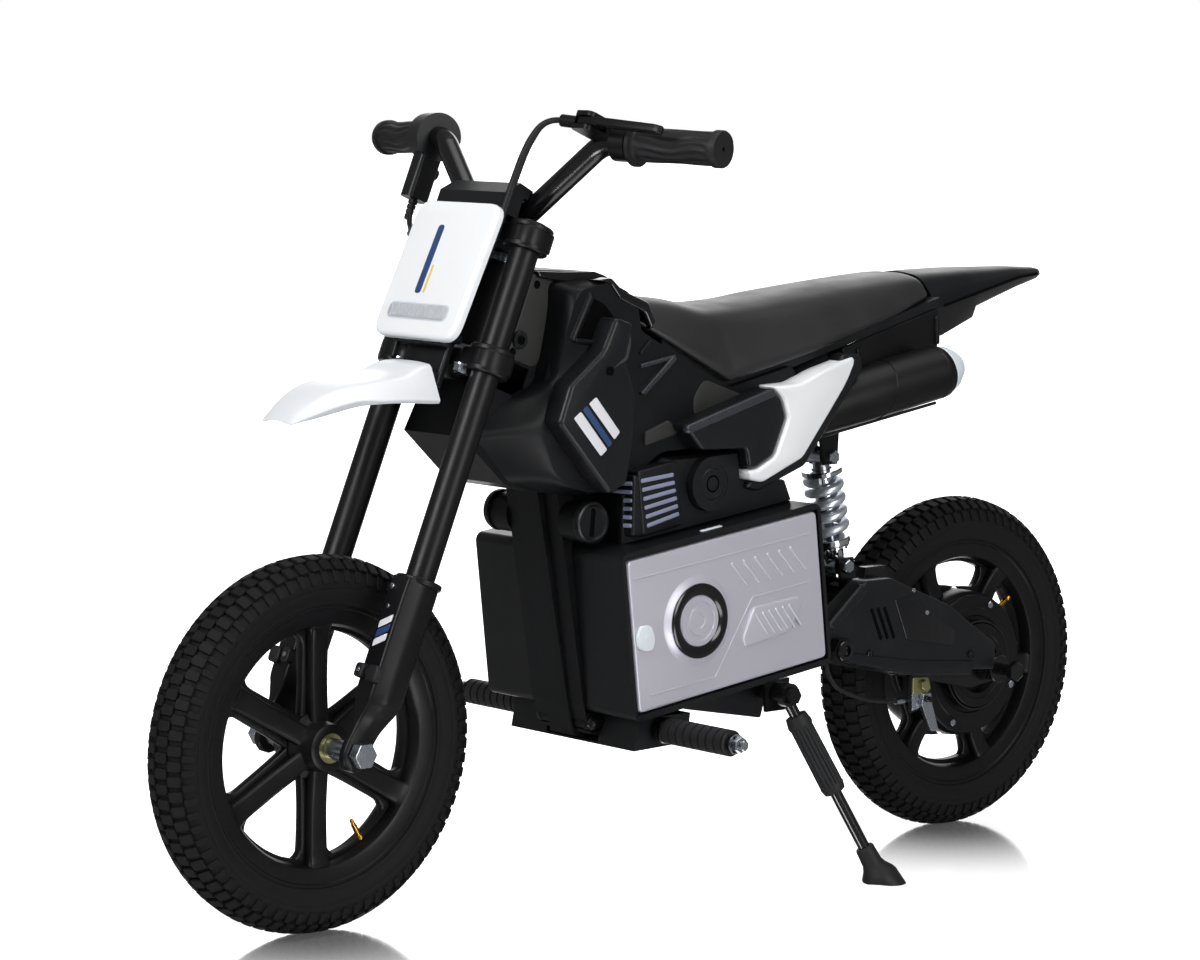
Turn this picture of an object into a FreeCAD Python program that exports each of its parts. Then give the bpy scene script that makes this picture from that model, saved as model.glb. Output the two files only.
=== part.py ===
"""Kids electric motorbike: +X forward, +Y left, +Z up, origin on the ground at mid-wheelbase.  Sizes in mm."""
import FreeCAD
import Part
import math
import os
from types import SimpleNamespace

from FreeCAD import Placement, Rotation, Vector

doc = FreeCAD.newDocument("kids_electric_motorbike")

# Driving dimensions, each with the meaning of its cell
SIZES = {
    "tyre_radius": (178, "14-inch tyre, which sets the scale; the axles lie this high"),
    "front_reach": (430, "front axle ahead of mid-wheelbase"),
    "rear_reach": (430, "rear axle behind mid-wheelbase"),
    "tread_half": (13, "half width of the flat tread"),
    "shoulder_half": (23.5, "half width at the tyre shoulder"),
    "shoulder_drop": (9, "shoulder below the tread"),
    "tyre_half": (27.4, "half of the tyre's widest section"),
    "belly_radius": (154, "radius of the widest section"),
    "bead_radius": (132, "radius where tyre meets rim"),
    "bead_half": (20.5, "half width at the bead"),
    "tyre_wall": (5, "tyre carcass thickness"),
    "seat_gap": (0.2, "clearance of pieces that sit on each other"),
    "rim_depth": (18, "rim section depth"),
    "rim_floor": (5, "thickness of the rim floor"),
    "rim_half": (20, "half width of the rim"),
    "web_half": (8, "half thickness of the wheel's spokes"),
    "spoke_width": (27, "spoke width"),
    "spoke_count": (6, "spokes per wheel"),
    "hub_radius": (23, "front hub radius"),
    "hub_half": (30, "front hub half width"),
    "hole_root": (40, "inner radius of the front wheel's windows"),
    "motor_radius": (75, "hub motor housing radius"),
    "motor_half": (32, "hub motor housing half width"),
    "motor_wall": (5, "hub motor housing wall"),
    "cover_thick": (4, "hub motor cover thickness"),
    "stator_radius": (60, "stator radius"),
    "stator_half": (18, "stator half width"),
    "axle_radius": (6, "both axles"),
    "bearing_radius": (14, "wheel bearing outside radius"),
    "bearing_width": (9, "wheel bearing width"),
    "running_gap": (0.05, "radial clearance of turning fits"),
    "drum_radius": (45, "brake drum radius"),
    "drum_width": (12, "brake drum width"),
    "band_gap": (1.5, "free gap between band and drum"),
    "band_thick": (2, "brake band thickness"),
    "rake": (22.2, "fork angle from upright, degrees"),
    "axle_lead": (10.6, "front axle ahead of the fork tubes"),
    "fork_half": (65, "half spacing of the fork tubes"),
    "fork_radius": (14, "fork tube radius"),
    "fork_wall": (2.5, "fork tube wall"),
    "fork_end": (96, "fork tube lower end inside its leg"),
    "leg_radius": (17.5, "fork leg radius"),
    "leg_top": (166, "fork leg top"),
    "leg_floor": (60, "bottom of the bore in the leg"),
    "fork_travel": (30, "fork travel"),
    "guard_wall": (3, "fork guard thickness"),
    "stem_back": (28, "steering axis behind the fork tubes"),
    "stem_radius": (12, "steering stem radius"),
    "head_radius": (21, "head tube radius"),
    "head_bore": (13, "head tube bore radius"),
    "head_bearing": (8, "head bearing width"),
    "lower_clamp": (378, "underside of the lower clamp"),
    "head_gap": (106, "room between the two clamps, which holds the head tube"),
    "clamp_thick": (18, "clamp thickness"),
    "bar_radius": (11, "handlebar radius"),
    "bar_wall": (2, "handlebar wall"),
    "bar_half": (244, "half width of the handlebar"),
    "bar_rise": (78.6, "rise of the handlebar from clamp to bend"),
    "grip_radius": (16, "grip radius"),
    "grip_length": (94, "grip length"),
    "plate_width": (120, "number plate width"),
    "plate_height": (140, "number plate height"),
    "plate_thick": (9, "number plate thickness"),
    "box_height": (102, "battery box centre above the axles"),
    "box_tilt": (7.3, "battery box nose-down tilt, degrees"),
    "box_half_long": (134, "half length of the battery box"),
    "box_half_tall": (83, "half height of the battery box"),
    "box_half_wide": (104, "half width of the battery box"),
    "box_wall": (4, "battery box wall"),
    "door_half_long": (128, "half length of the battery door"),
    "door_half_tall": (75, "half height of the battery door"),
    "door_thick": (5.5, "battery door thickness"),
    "neck_half": (44, "half width of the body at the steering head"),
    "flank_half": (72, "half width of the body at its flanks"),
    "panel_half": (96, "half width over the side panels"),
    "shell_wall": (3, "wall of the moulded shells"),
    "seat_half": (78, "half width of the seat"),
    "spine_half": (14, "half width of the frame spine"),
    "rail_radius": (11, "frame tube radius"),
    "cradle_radius": (8, "cradle tube radius"),
    "cradle_half": (34, "half spacing of the cradle rails"),
    "frame_room": (1, "room left round the frame in the covers"),
    "pivot_radius": (8, "swing arm pivot bolt radius"),
    "arm_inner": (54, "inner face of the swing arm beams"),
    "arm_thick": (10, "swing arm beam thickness"),
    "arm_tall": (26, "swing arm beam height"),
    "cover_out": (86, "outer face of the swing arm covers"),
    "shock_eye": (10, "shock eye radius"),
    "shock_pin": (4, "shock pin radius"),
    "spring_radius": (16, "coil radius of the shock spring"),
    "wire_radius": (3.1, "spring wire radius"),
    "spring_turns": (6, "turns of the shock spring"),
    "silencer_radius": (29, "silencer radius"),
    "silencer_out": (90, "silencer axis from mid-plane"),
    "peg_half": (202, "half width over the footpegs"),
    "peg_radius": (7, "footpeg rod radius"),
    "sleeve_radius": (13, "footpeg sleeve radius"),
    "stand_out": (112, "stand pivot from mid-plane"),
    "cable_radius": (2.8, "cable radius"),
}
sheet = doc.addObject("Spreadsheet::Sheet", "sizes")
for row, (alias, (value, meaning)) in enumerate(SIZES.items(), start=1):
    sheet.set(f"A{row}", meaning)
    sheet.set(f"B{row}", str(value))
    sheet.setAlias(f"B{row}", alias)
doc.recompute()
D = SimpleNamespace(**{alias: float(sheet.get(alias)) for alias in SIZES})

# Frames of reference: the two axles, the fork line and the tilted battery box
Y_AXIS = Vector(0, 1, 0)
AXLE = D.tyre_radius
FRONT = Vector(D.front_reach, 0, AXLE)
REAR = Vector(-D.rear_reach, 0, AXLE)
FORK = Placement(FRONT, Rotation(Y_AXIS, -D.rake)) * Placement(Vector(-D.axle_lead, 0, 0), Rotation())
BOX = Placement(Vector(0, 0, AXLE + D.box_height), Rotation(Y_AXIS, D.box_tilt))
SIDES = (1, -1)

parts = {}


def keep(label, shape, placement=None):
    """A free-form sub-part: its shape, and where it goes."""
    feature = doc.addObject("Part::Feature", label)
    feature.Label = label
    feature.Shape = shape
    if placement is not None:
        feature.Placement = placement
    parts[label] = feature
    return feature


def up(x, z, y=0.0):
    """A point given by its height above the axles."""
    return Vector(x, y, AXLE + z)


def rod(start, end, radius):
    """A round bar from start to end."""
    line = end - start
    return Part.makeCylinder(radius, line.Length, start, line)


def ring(start, end, outer, inner):
    """A round tube from start to end."""
    return rod(start, end, outer).cut(rod(start, end, inner))


def face_of(points):
    """A flat face inside a closed outline."""
    return Part.Face(Part.makePolygon(list(points) + [points[0]]))


def slab(outline, low, high, inset=0.0):
    """A plate with an outline in X and height above the axles, from one Y to another, drawn in by inset."""
    face = face_of([up(x, z, low) for x, z in outline])
    if inset:
        face = face.makeOffset2D(-inset)
    return face.extrude(Vector(0, high - low, 0))


def shrunk(outline, share):
    """The outline drawn towards its own middle."""
    mid_x = sum(x for x, _ in outline) / len(outline)
    mid_z = sum(z for _, z in outline) / len(outline)
    return [(mid_x + share * (x - mid_x), mid_z + share * (z - mid_z)) for x, z in outline]


def bevelled(outline, low, high, edge, share, inset=0.0):
    """A plate whose outer edge slopes in over its last millimetres."""
    base = slab(outline, low, high - edge, inset)
    inner = shrunk(outline, share)
    wires = []
    for points, y in ((outline, high - edge), (inner, high)):
        face = face_of([up(x, z, y) for x, z in points])
        if inset:
            face = face.makeOffset2D(-inset)
        wires.append(face.OuterWire)
    return base.fuse(Part.makeLoft(wires, True, True)).removeSplitter()


def tray(outline, low, high, edge, share, wall):
    """A moulded cover: a bevelled plate hollowed from its inner side."""
    outer = bevelled(outline, low, high, edge, share)
    return outer.cut(slab(shrunk(outline, share), low, high - wall, wall))


def mirrored(shape):
    """The same piece on the other side of the bike."""
    return shape.mirror(Vector(0, 0, 0), Y_AXIS)


def both(shape):
    """A left piece and its right twin, as one group of solids."""
    return Part.makeCompound([shape, mirrored(shape)])


def pieces(shapes):
    """Several separate solids in one group."""
    return Part.makeCompound(list(shapes))


def fused(shapes):
    """Several solids joined into one."""
    first, *rest = shapes
    return first.multiFuse(rest).removeSplitter()


def block(low, high):
    """A box between two corners."""
    size = high - low
    return Part.makeBox(size.x, size.y, size.z, low)


def rounded_block(low, high, axis, radius):
    """A box whose four edges along one axis are rounded."""
    solid = block(low, high)
    edges = [e for e in solid.Edges if abs(e.tangentAt(e.FirstParameter).dot(axis)) > 0.99]
    return solid.makeFillet(radius, edges)


def route(points, radii):
    """Straight runs joined by tangent arcs; radii holds one radius for each inner point."""
    edges = []
    start = points[0]
    for before, corner, after, radius in zip(points, points[1:], points[2:], radii):
        into = (corner - before).normalize()
        out = (after - corner).normalize()
        half_turn = into.getAngle(out) / 2
        setback = radius * math.tan(half_turn)
        first = corner - into * setback
        last = corner + out * setback
        inward = (out - into).normalize()
        middle = corner + inward * (radius / math.cos(half_turn) - radius)
        edges.append(Part.LineSegment(start, first).toShape())
        edges.append(Part.Arc(first, middle, last).toShape())
        start = last
    edges.append(Part.LineSegment(start, points[-1]).toShape())
    return Part.Wire(edges)


def largest_radii(points):
    """For each inner point, 0.45 of the shorter run over the tangent of half the turn."""
    radii = []
    for before, corner, after in zip(points, points[1:], points[2:]):
        into = corner - before
        out = after - corner
        half_turn = into.getAngle(out) / 2
        radii.append(0.45 * min(into.Length, out.Length) / math.tan(half_turn))
    return radii


def swept(path, radius):
    """A round section carried along a path of runs and arcs."""
    first = path.Edges[0]
    start = first.valueAt(first.FirstParameter)
    along = first.tangentAt(first.FirstParameter)
    circle = Part.Wire(Part.makeCircle(radius, start, along))
    return path.makePipeShell([circle], True, False)


def turned(profile, start, end):
    """A profile of (distance along, radius) points turned round the line from start to end."""
    face = face_of([Vector(radius, 0, along) for along, radius in profile])
    solid = face.revolve(Vector(0, 0, 0), Vector(0, 0, 1), 360)
    solid.Placement = Placement(start, Rotation(Vector(0, 0, 1), end - start))
    return solid


def ribbed_sleeve(length, bore, radius, ribs, depth, flange=0.0):
    """Profile of a rubber sleeve: a flange, then ribs of equal pitch, then a plain end."""
    lip = 4.0 if flange else 0.0
    profile = [(0.0, bore)]
    if flange:
        profile += [(0.0, flange), (lip, flange)]
    profile.append((lip, radius))
    pitch = (length - lip - 8.0) / ribs
    for count in range(ribs):
        here = lip + 2.0 + count * pitch
        profile += [(here + 0.3 * pitch, radius), (here + 0.4 * pitch, radius - depth)]
        profile += [(here + 0.8 * pitch, radius - depth), (here + 0.9 * pitch, radius)]
    profile += [(length, radius), (length, bore)]
    return profile


def body_named(label, placement):
    """An empty PartDesign body in its place."""
    body = doc.addObject("PartDesign::Body", label)
    body.Label = label
    body.Placement = placement
    parts[label] = body
    return body


def sketch_on(body, role, geometry, lift=0.0):
    """A sketch on one of the body's own origin planes, raised along the plane's normal."""
    sketch = body.newObject("Sketcher::SketchObject", f"{body.Name}_sketch")
    plane = next(f for f in body.Origin.OriginFeatures if f.Role == role)
    sketch.AttachmentSupport = [(plane, "")]
    sketch.MapMode = "FlatFace"
    sketch.AttachmentOffset = Placement(Vector(0, 0, lift), Rotation())
    sketch.addGeometry(geometry, False)
    return sketch


def closed_lines(points):
    """Sketch lines round a closed outline."""
    corners = [Vector(x, y, 0) for x, y in points]
    return [Part.LineSegment(a, b) for a, b in zip(corners, corners[1:] + corners[:1])]


def circle_at(x, y, radius):
    """A sketch circle."""
    return Part.Circle(Vector(x, y, 0), Vector(0, 0, 1), radius)


def revolve_body(body, points):
    """Turns an outline of (radius, Y) once round the body's Y axis."""
    sketch = sketch_on(body, "XY_Plane", closed_lines(points))
    feature = body.newObject("PartDesign::Revolution", f"{body.Name}_turn")
    feature.Profile = sketch
    feature.ReferenceAxis = (sketch, ["V_Axis"])
    feature.Angle = 360.0
    body.Tip = feature
    doc.recompute()
    return feature


def window_pattern(body, root, tip):
    """Cuts one window between two spokes and repeats it round the wheel."""
    half_step = math.pi / D.spoke_count
    corners = {}
    for name, radius in (("root", root), ("tip", tip)):
        corners[name] = half_step - math.asin(D.spoke_width / 2 / radius)

    def polar(radius, angle):
        return Vector(radius * math.cos(angle), radius * math.sin(angle), 0)

    low, high = corners["root"], corners["tip"]
    outline = [
        Part.LineSegment(polar(root, low), polar(tip, high)),
        Part.Arc(polar(tip, high), polar(tip, 0), polar(tip, -high)),
        Part.LineSegment(polar(tip, -high), polar(root, -low)),
        Part.Arc(polar(root, -low), polar(root, 0), polar(root, low)),
    ]
    sketch = sketch_on(body, "XZ_Plane", outline)
    before = body.Shape.Volume
    pocket = body.newObject("PartDesign::Pocket", f"{body.Name}_window")
    pocket.Profile = sketch
    pocket.Type = 0
    pocket.Midplane = True
    pocket.setExpression("Length", "4 * sizes.hub_half")
    body.Tip = pocket
    doc.recompute()
    assert body.Shape.Volume < before
    pattern = body.newObject("PartDesign::PolarPattern", f"{body.Name}_windows")
    pattern.Originals = [pocket]
    axis = next(f for f in body.Origin.OriginFeatures if f.Role == "Y_Axis")
    pattern.Axis = (axis, [""])
    pattern.Angle = 360.0
    pattern.setExpression("Occurrences", "sizes.spoke_count")
    body.Tip = pattern
    doc.recompute()


# Wheels
def tyre(label, centre):
    """A tyre carcass: flat tread, sloped shoulders, round side walls, open at the bead."""
    wall = D.tyre_wall
    half = [
        (D.bead_radius, D.bead_half),
        (D.belly_radius, D.tyre_half),
        (D.tyre_radius - D.shoulder_drop, D.shoulder_half),
        (D.tyre_radius, D.tread_half),
    ]
    inner = [
        (D.bead_radius, D.bead_half - wall),
        (D.belly_radius, D.tyre_half - wall),
        (D.tyre_radius - D.shoulder_drop - wall, D.shoulder_half - wall),
        (D.tyre_radius - 2 * wall, D.tread_half - wall),
    ]
    outline = half + [(r, -y) for r, y in reversed(half)]
    outline += [(r, -y) for r, y in inner] + list(reversed(inner))
    revolve_body(body_named(label, Placement(centre, Rotation())), outline)


RIM_OUTER = D.bead_radius - D.seat_gap
RIM_INNER = RIM_OUTER - D.rim_depth


def rim_section(hub):
    """Half of a rim's section, from the bead channel down to the hub points given."""
    floor = RIM_INNER + D.rim_floor
    lip = D.bead_half - D.tyre_wall
    half = [
        (floor, lip),
        (RIM_OUTER, lip),
        (RIM_OUTER, D.rim_half),
        (RIM_INNER, D.rim_half),
        (RIM_INNER, D.web_half),
    ] + hub
    return half + [(r, -y) for r, y in reversed(half)]


tyre("front_tyre", FRONT)
tyre("rear_tyre", REAR)

front_rim = body_named("front_rim", Placement(FRONT, Rotation()))
revolve_body(front_rim, rim_section([
    (D.hub_radius, D.web_half),
    (D.hub_radius, D.hub_half),
    (D.bearing_radius, D.hub_half),
    (D.bearing_radius, D.hub_half - D.bearing_width),
    (D.axle_radius + D.rim_floor, D.hub_half - D.bearing_width),
]))
window_pattern(front_rim, D.hole_root, RIM_INNER - D.rim_floor)

HALF_STEP = 180.0 / D.spoke_count
rear_rim = body_named("rear_rim", Placement(REAR, Rotation(Y_AXIS, HALF_STEP)))
revolve_body(rear_rim, rim_section([
    (D.motor_radius, D.web_half),
    (D.motor_radius, D.motor_half),
    (D.motor_radius - D.motor_wall, D.motor_half),
]))
window_pattern(rear_rim, D.motor_radius + D.motor_wall, RIM_INNER - D.rim_floor)

COVER_FACE = D.motor_half + D.cover_thick
BOSS_FACE = COVER_FACE + 2.0


def at(centre, y):
    """A point on a wheel's axle."""
    return centre + Vector(0, y, 0)


def bearing(centre, outer_y):
    """One wheel bearing whose outer face is at outer_y."""
    inner_y = outer_y - D.bearing_width
    return ring(at(centre, inner_y), at(centre, outer_y), D.bearing_radius, D.axle_radius + D.running_gap)


keep("front_bearings", both(bearing(FRONT, D.hub_half)))
keep("rear_bearings", both(bearing(REAR, BOSS_FACE)))

boss_low = BOSS_FACE - D.bearing_width
motor_cover = rod(at(REAR, D.motor_half), at(REAR, COVER_FACE), D.motor_radius)
motor_cover = motor_cover.fuse(rod(at(REAR, boss_low), at(REAR, BOSS_FACE), D.bearing_radius + D.motor_wall))
motor_cover = motor_cover.cut(rod(at(REAR, boss_low), at(REAR, BOSS_FACE), D.bearing_radius))
keep("motor_stator", ring(at(REAR, -D.stator_half), at(REAR, D.stator_half), D.stator_radius, D.axle_radius))

DRUM_FACE = COVER_FACE + D.drum_width
drum_inner = D.bearing_radius + 2 * D.motor_wall
drum = ring(at(REAR, COVER_FACE), at(REAR, DRUM_FACE), D.drum_radius, drum_inner)
keep("motor_covers", pieces([motor_cover.fuse(drum).removeSplitter(), mirrored(motor_cover).removeSplitter()]))


def hex_bar(centre, y0, y1, across):
    """A hexagon head or nut along Y, given its width across flats."""
    reach = across / math.sqrt(3)
    corners = []
    for count in range(6):
        angle = math.radians(60 * count)
        corners.append(Vector(centre.x + reach * math.cos(angle), y0, centre.z + reach * math.sin(angle)))
    return face_of(corners).extrude(Vector(0, y1 - y0, 0))


# Fork, in fork lengths: x ahead of the tubes, y to the left, z along the tubes from the axle
def tube_at(low, high, outer, inner):
    """A tube on the left fork line."""
    return ring(Vector(0, D.fork_half, low), Vector(0, D.fork_half, high), outer, inner)


UPPER_CLAMP = D.lower_clamp + D.clamp_thick + D.head_gap
CLAMP_TOP = UPPER_CLAMP + D.clamp_thick
FORK_TOP = CLAMP_TOP + 6
keep("fork_tubes", both(tube_at(D.fork_end, FORK_TOP, D.fork_radius, D.fork_radius - D.fork_wall)), FORK)

LEG_FOOT = -20.0
DROPOUT_HALF = 7.0
LEG_START = 30.0
leg = rod(Vector(0, D.fork_half, LEG_START), Vector(0, D.fork_half, D.leg_top), D.leg_radius)
bore = D.fork_radius + D.running_gap
leg = leg.cut(rod(Vector(0, D.fork_half, D.leg_floor), Vector(0, D.fork_half, D.leg_top), bore))
dropout = rounded_block(
    Vector(-D.axle_lead, D.fork_half - DROPOUT_HALF, LEG_FOOT),
    Vector(D.axle_lead + 17, D.fork_half + DROPOUT_HALF, LEG_START + 8), Y_AXIS, 10.0)
axle_low = Vector(D.axle_lead, 0, 0)
axle_far = Vector(D.axle_lead, D.peg_half, 0)
leg = leg.fuse(dropout).cut(rod(axle_low, axle_far, D.axle_radius))
GUARD_LOW = 44.0
guard_in = D.leg_radius + D.seat_gap
guard = tube_at(GUARD_LOW, D.leg_top + D.guard_wall, guard_in + D.guard_wall, guard_in)
back_cut = block(Vector(-60, 0, GUARD_LOW - 1), Vector(-4, 150, D.leg_top + 60))
guard_face = rounded_block(
    Vector(guard_in + 0.5, D.fork_half - 13, GUARD_LOW), Vector(guard_in + 6, D.fork_half + 13, D.leg_top - 24),
    Vector(1, 0, 0), 8.0)
guard = guard.cut(back_cut).fuse(guard_face).removeSplitter()
keep("fork_legs", pieces(both(leg.removeSplitter()).Solids + both(guard).Solids), FORK)

AXLE_TIP = D.fork_half + DROPOUT_HALF
front_axle = rod(at(FRONT, -AXLE_TIP), at(FRONT, AXLE_TIP), D.axle_radius)
heads = [hex_bar(FRONT, side * AXLE_TIP, side * (AXLE_TIP + 11), 22) for side in SIDES]
spacers = both(ring(
    at(FRONT, D.hub_half + 0.5), at(FRONT, D.fork_half - DROPOUT_HALF), D.axle_radius + 4, D.axle_radius))
keep("front_axle", fused([front_axle] + heads + spacers.Solids))

STEM = Vector(-D.stem_back, 0, 0)


def on_stem(along):
    """A point on the steering axis, in fork lengths."""
    return STEM + Vector(0, 0, along)


def clamp(label, low):
    """A fork clamp: one plate with bores for the two tubes and the stem."""
    wide = D.fork_half + D.fork_radius + 5
    ahead = D.fork_radius + 4
    behind = D.stem_back + D.stem_radius + 7
    outline = [
        (ahead, -wide), (ahead, wide), (-ahead, wide), (-behind, 22), (-behind, -22), (-ahead, -wide),
    ]
    body = body_named(label, FORK * Placement(Vector(0, 0, low), Rotation()))
    geometry = closed_lines(outline)
    geometry += [circle_at(0, side * D.fork_half, D.fork_radius) for side in SIDES]
    geometry.append(circle_at(-D.stem_back, 0, D.stem_radius))
    pad = body.newObject("PartDesign::Pad", f"{label}_pad")
    pad.Profile = sketch_on(body, "XY_Plane", geometry)
    pad.setExpression("Length", "sizes.clamp_thick")
    body.Tip = pad
    doc.recompute()
    return body


clamp("lower_clamp", D.lower_clamp)
upper_clamp = clamp("upper_clamp", UPPER_CLAMP)
NUT_TALL = 4.0
stem = rod(on_stem(D.lower_clamp), on_stem(CLAMP_TOP), D.stem_radius)
stem_nut = rod(on_stem(CLAMP_TOP), on_stem(CLAMP_TOP + NUT_TALL), D.stem_radius - 2)
keep("steering_stem", stem.fuse(stem_nut).removeSplitter(), FORK)

HEAD_LOW = D.lower_clamp + D.clamp_thick + 2
HEAD_HIGH = UPPER_CLAMP - 2
bearing_bore = D.stem_radius + D.running_gap
keep("head_bearings", pieces(
    ring(on_stem(low), on_stem(low + D.head_bearing), D.head_radius - 2, bearing_bore)
    for low in (HEAD_LOW, HEAD_HIGH - D.head_bearing)), FORK)

# Handlebar, in fork lengths
BAR_AHEAD = -11.4
BAR_UP = CLAMP_TOP + D.bar_radius + 3
BEND_OUT = D.bar_half - 126
bar_mid = Vector(BAR_AHEAD, 34.0, BAR_UP)
bar_bend = Vector(BAR_AHEAD + 3, BEND_OUT, BAR_UP + D.bar_rise)
bar_end = Vector(BAR_AHEAD - 26.5, D.bar_half, BAR_UP + D.bar_rise + 8.5)


def other_side(point):
    """The mirror image of a point."""
    return Vector(point.x, -point.y, point.z)


bar_points = [other_side(p) for p in (bar_end, bar_bend, bar_mid)] + [bar_mid, bar_bend, bar_end]
bar_path = route(bar_points, [40, 30, 30, 40])
bar = swept(bar_path, D.bar_radius).cut(swept(bar_path, D.bar_radius - D.bar_wall))
keep("handlebar", bar, FORK)
bar_space = swept(bar_path, D.bar_radius + D.running_gap)

bar_line = (bar_end - bar_bend).normalize()
BAR_RUN = (bar_end - bar_bend).Length


def on_bar(distance, side=1):
    """A point on the straight end of the bar, by its distance past the bend."""
    point = bar_bend + bar_line * distance
    return point if side > 0 else other_side(point)


bar_fit = D.bar_radius + D.running_gap
CLAMP_BLOCK_TALL = 27.0
BLOCK_HALF = 16.0
BLOCK_IN = 11.0
BLOCK_OUT = 22.0
block_lines = []
for side in SIDES:
    block_lines += closed_lines([
        (BAR_AHEAD - BLOCK_HALF, side * BLOCK_IN), (BAR_AHEAD + BLOCK_HALF, side * BLOCK_IN),
        (BAR_AHEAD + BLOCK_HALF, side * BLOCK_OUT), (BAR_AHEAD - BLOCK_HALF, side * BLOCK_OUT)])
blocks = upper_clamp.newObject("PartDesign::Pad", "bar_blocks")
blocks.Profile = sketch_on(upper_clamp, "XY_Plane", block_lines, D.clamp_thick)
blocks.Length = CLAMP_BLOCK_TALL
upper_clamp.Tip = blocks
doc.recompute()
bar_bore = upper_clamp.newObject("PartDesign::Pocket", "bar_bore")
bar_bore.Profile = sketch_on(
    upper_clamp, "XZ_Plane", [circle_at(BAR_AHEAD, BAR_UP - UPPER_CLAMP, bar_fit)])
bar_bore.Midplane = True
bar_bore.setExpression("Length", "2 * sizes.fork_half")
solid_blocks = upper_clamp.Shape.Volume
upper_clamp.Tip = bar_bore
doc.recompute()
assert upper_clamp.Shape.Volume < solid_blocks

CAP_LONG = 4.0
GRIP_START = BAR_RUN - D.grip_length
GRIP_RIBS = 9


def grip(side):
    """A ribbed grip with a flange inside and a closed end."""
    profile = ribbed_sleeve(D.grip_length, bar_fit, D.grip_radius, GRIP_RIBS, 1.6, D.grip_radius + 5)
    sleeve = turned(profile, on_bar(GRIP_START, side), on_bar(BAR_RUN, side))
    cap = rod(on_bar(BAR_RUN, side), on_bar(BAR_RUN + CAP_LONG, side), D.grip_radius + 1.5)
    return sleeve.fuse(cap).removeSplitter()


keep("left_grip", grip(1), FORK)
keep("throttle_grip", grip(-1), FORK)

HOUSING_START = GRIP_START - 24.0
housing = rod(on_bar(HOUSING_START, -1), on_bar(GRIP_START - 0.6, -1), 24.0)
drop = on_bar(HOUSING_START + 12, -1)
housing_block = rounded_block(
    drop + Vector(-13, -9, -66), drop + Vector(13, 9, -12), Vector(0, 0, 1), 5.0)
housing = housing.fuse(housing_block).cut(bar_space)
BUTTON_RADIUS = 6.0
button_seat = drop + Vector(-13, 0, -34)
button_in = button_seat + Vector(5, 0, 0)
housing = housing.cut(rod(button_seat, button_in, BUTTON_RADIUS + 0.4))
keep("throttle_housing", housing.removeSplitter(), FORK)
BUTTON_TRAVEL = 2.0
keep("mode_button", rod(button_seat + Vector(-3, 0, 0), button_in - Vector(BUTTON_TRAVEL + 0.4, 0, 0),
                        BUTTON_RADIUS), FORK)

# Brake lever and its perch
PERCH_START = 15.0
LEVER_AHEAD = 40.0
LEVER_HALF = 4.0
LEVER_PIN = 3.0
lever_pivot = Vector(bar_bend.x + LEVER_AHEAD - 8, BEND_OUT + 6, bar_bend.z + 7)
perch = rod(on_bar(PERCH_START), on_bar(PERCH_START + 17), D.bar_radius + 6)
cheek = rounded_block(
    lever_pivot + Vector(-30, -12, -LEVER_HALF - 5), lever_pivot + Vector(9, 12, LEVER_HALF + 5),
    Vector(0, 0, 1), 6.0)
barrel_way = Vector(4, -18, 0).normalize()
barrel_root = lever_pivot + Vector(0, -12, 0)
BARREL_LONG = 19.0
barrel = rod(barrel_root, barrel_root + barrel_way * BARREL_LONG, 6.0)
slot = block(lever_pivot + Vector(-15, -11, -LEVER_HALF - 0.4), lever_pivot + Vector(20, 20, LEVER_HALF + 0.4))
perch = perch.fuse(cheek.cut(slot)).fuse(barrel).cut(bar_space)
pin = rod(lever_pivot - Vector(0, 0, LEVER_HALF + 3), lever_pivot + Vector(0, 0, LEVER_HALF + 3), LEVER_PIN)
keep("brake_perch", perch.fuse(pin).removeSplitter(), FORK)


def lever_place(distance, ahead):
    """A point of the lever's outline, ahead of the bar by a given amount."""
    spot = on_bar(distance) + Vector(ahead, 0, 0)
    return Vector(spot.x, spot.y, lever_pivot.z - LEVER_HALF)


lever_root = lever_pivot - Vector(0, 0, LEVER_HALF)
blade = face_of([
    lever_root + Vector(-8, -7, 0), lever_root + Vector(7, -7, 0), lever_place(26, LEVER_AHEAD + 5),
    lever_place(92, LEVER_AHEAD + 6), lever_place(99, LEVER_AHEAD + 2), lever_place(96, LEVER_AHEAD - 4),
    lever_place(30, LEVER_AHEAD - 5), lever_root + Vector(-8, 10, 0),
]).extrude(Vector(0, 0, 2 * LEVER_HALF))
pin_room = rod(lever_root, lever_root + Vector(0, 0, 2 * LEVER_HALF), LEVER_PIN + D.running_gap)
keep("brake_lever", blade.cut(pin_room), FORK)

# Number plate, lamp, bracket, dash and fender
PLATE_LEAN = -3.3
PLATE_AHEAD = 40.0
PLATE_MID = (D.lower_clamp + CLAMP_TOP) / 2 + 11.6
PLATE = FORK * Placement(Vector(PLATE_AHEAD, 0, PLATE_MID), Rotation(Y_AXIS, PLATE_LEAN))
plate_back = -D.plate_thick / 2
number_plate = rounded_block(
    Vector(plate_back, -D.plate_width / 2, -D.plate_height / 2),
    Vector(-plate_back, D.plate_width / 2, D.plate_height / 2), Vector(1, 0, 0), 16.0)
front_edges = [e for e in number_plate.Edges if e.CenterOfMass.x > -plate_back - 0.01]
number_plate = number_plate.makeFillet(3.0, front_edges)
LENS_HALF = Vector(0, 35, 8.5)
LENS_LOW = -44.0
LENS_DEEP = 3.0
lens_seat = Vector(-plate_back - LENS_DEEP, 0, LENS_LOW)
lens = block(lens_seat - LENS_HALF, lens_seat + LENS_HALF + Vector(LENS_DEEP + 1, 0, 0))
gap = Vector(0, D.seat_gap, D.seat_gap)
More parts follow.
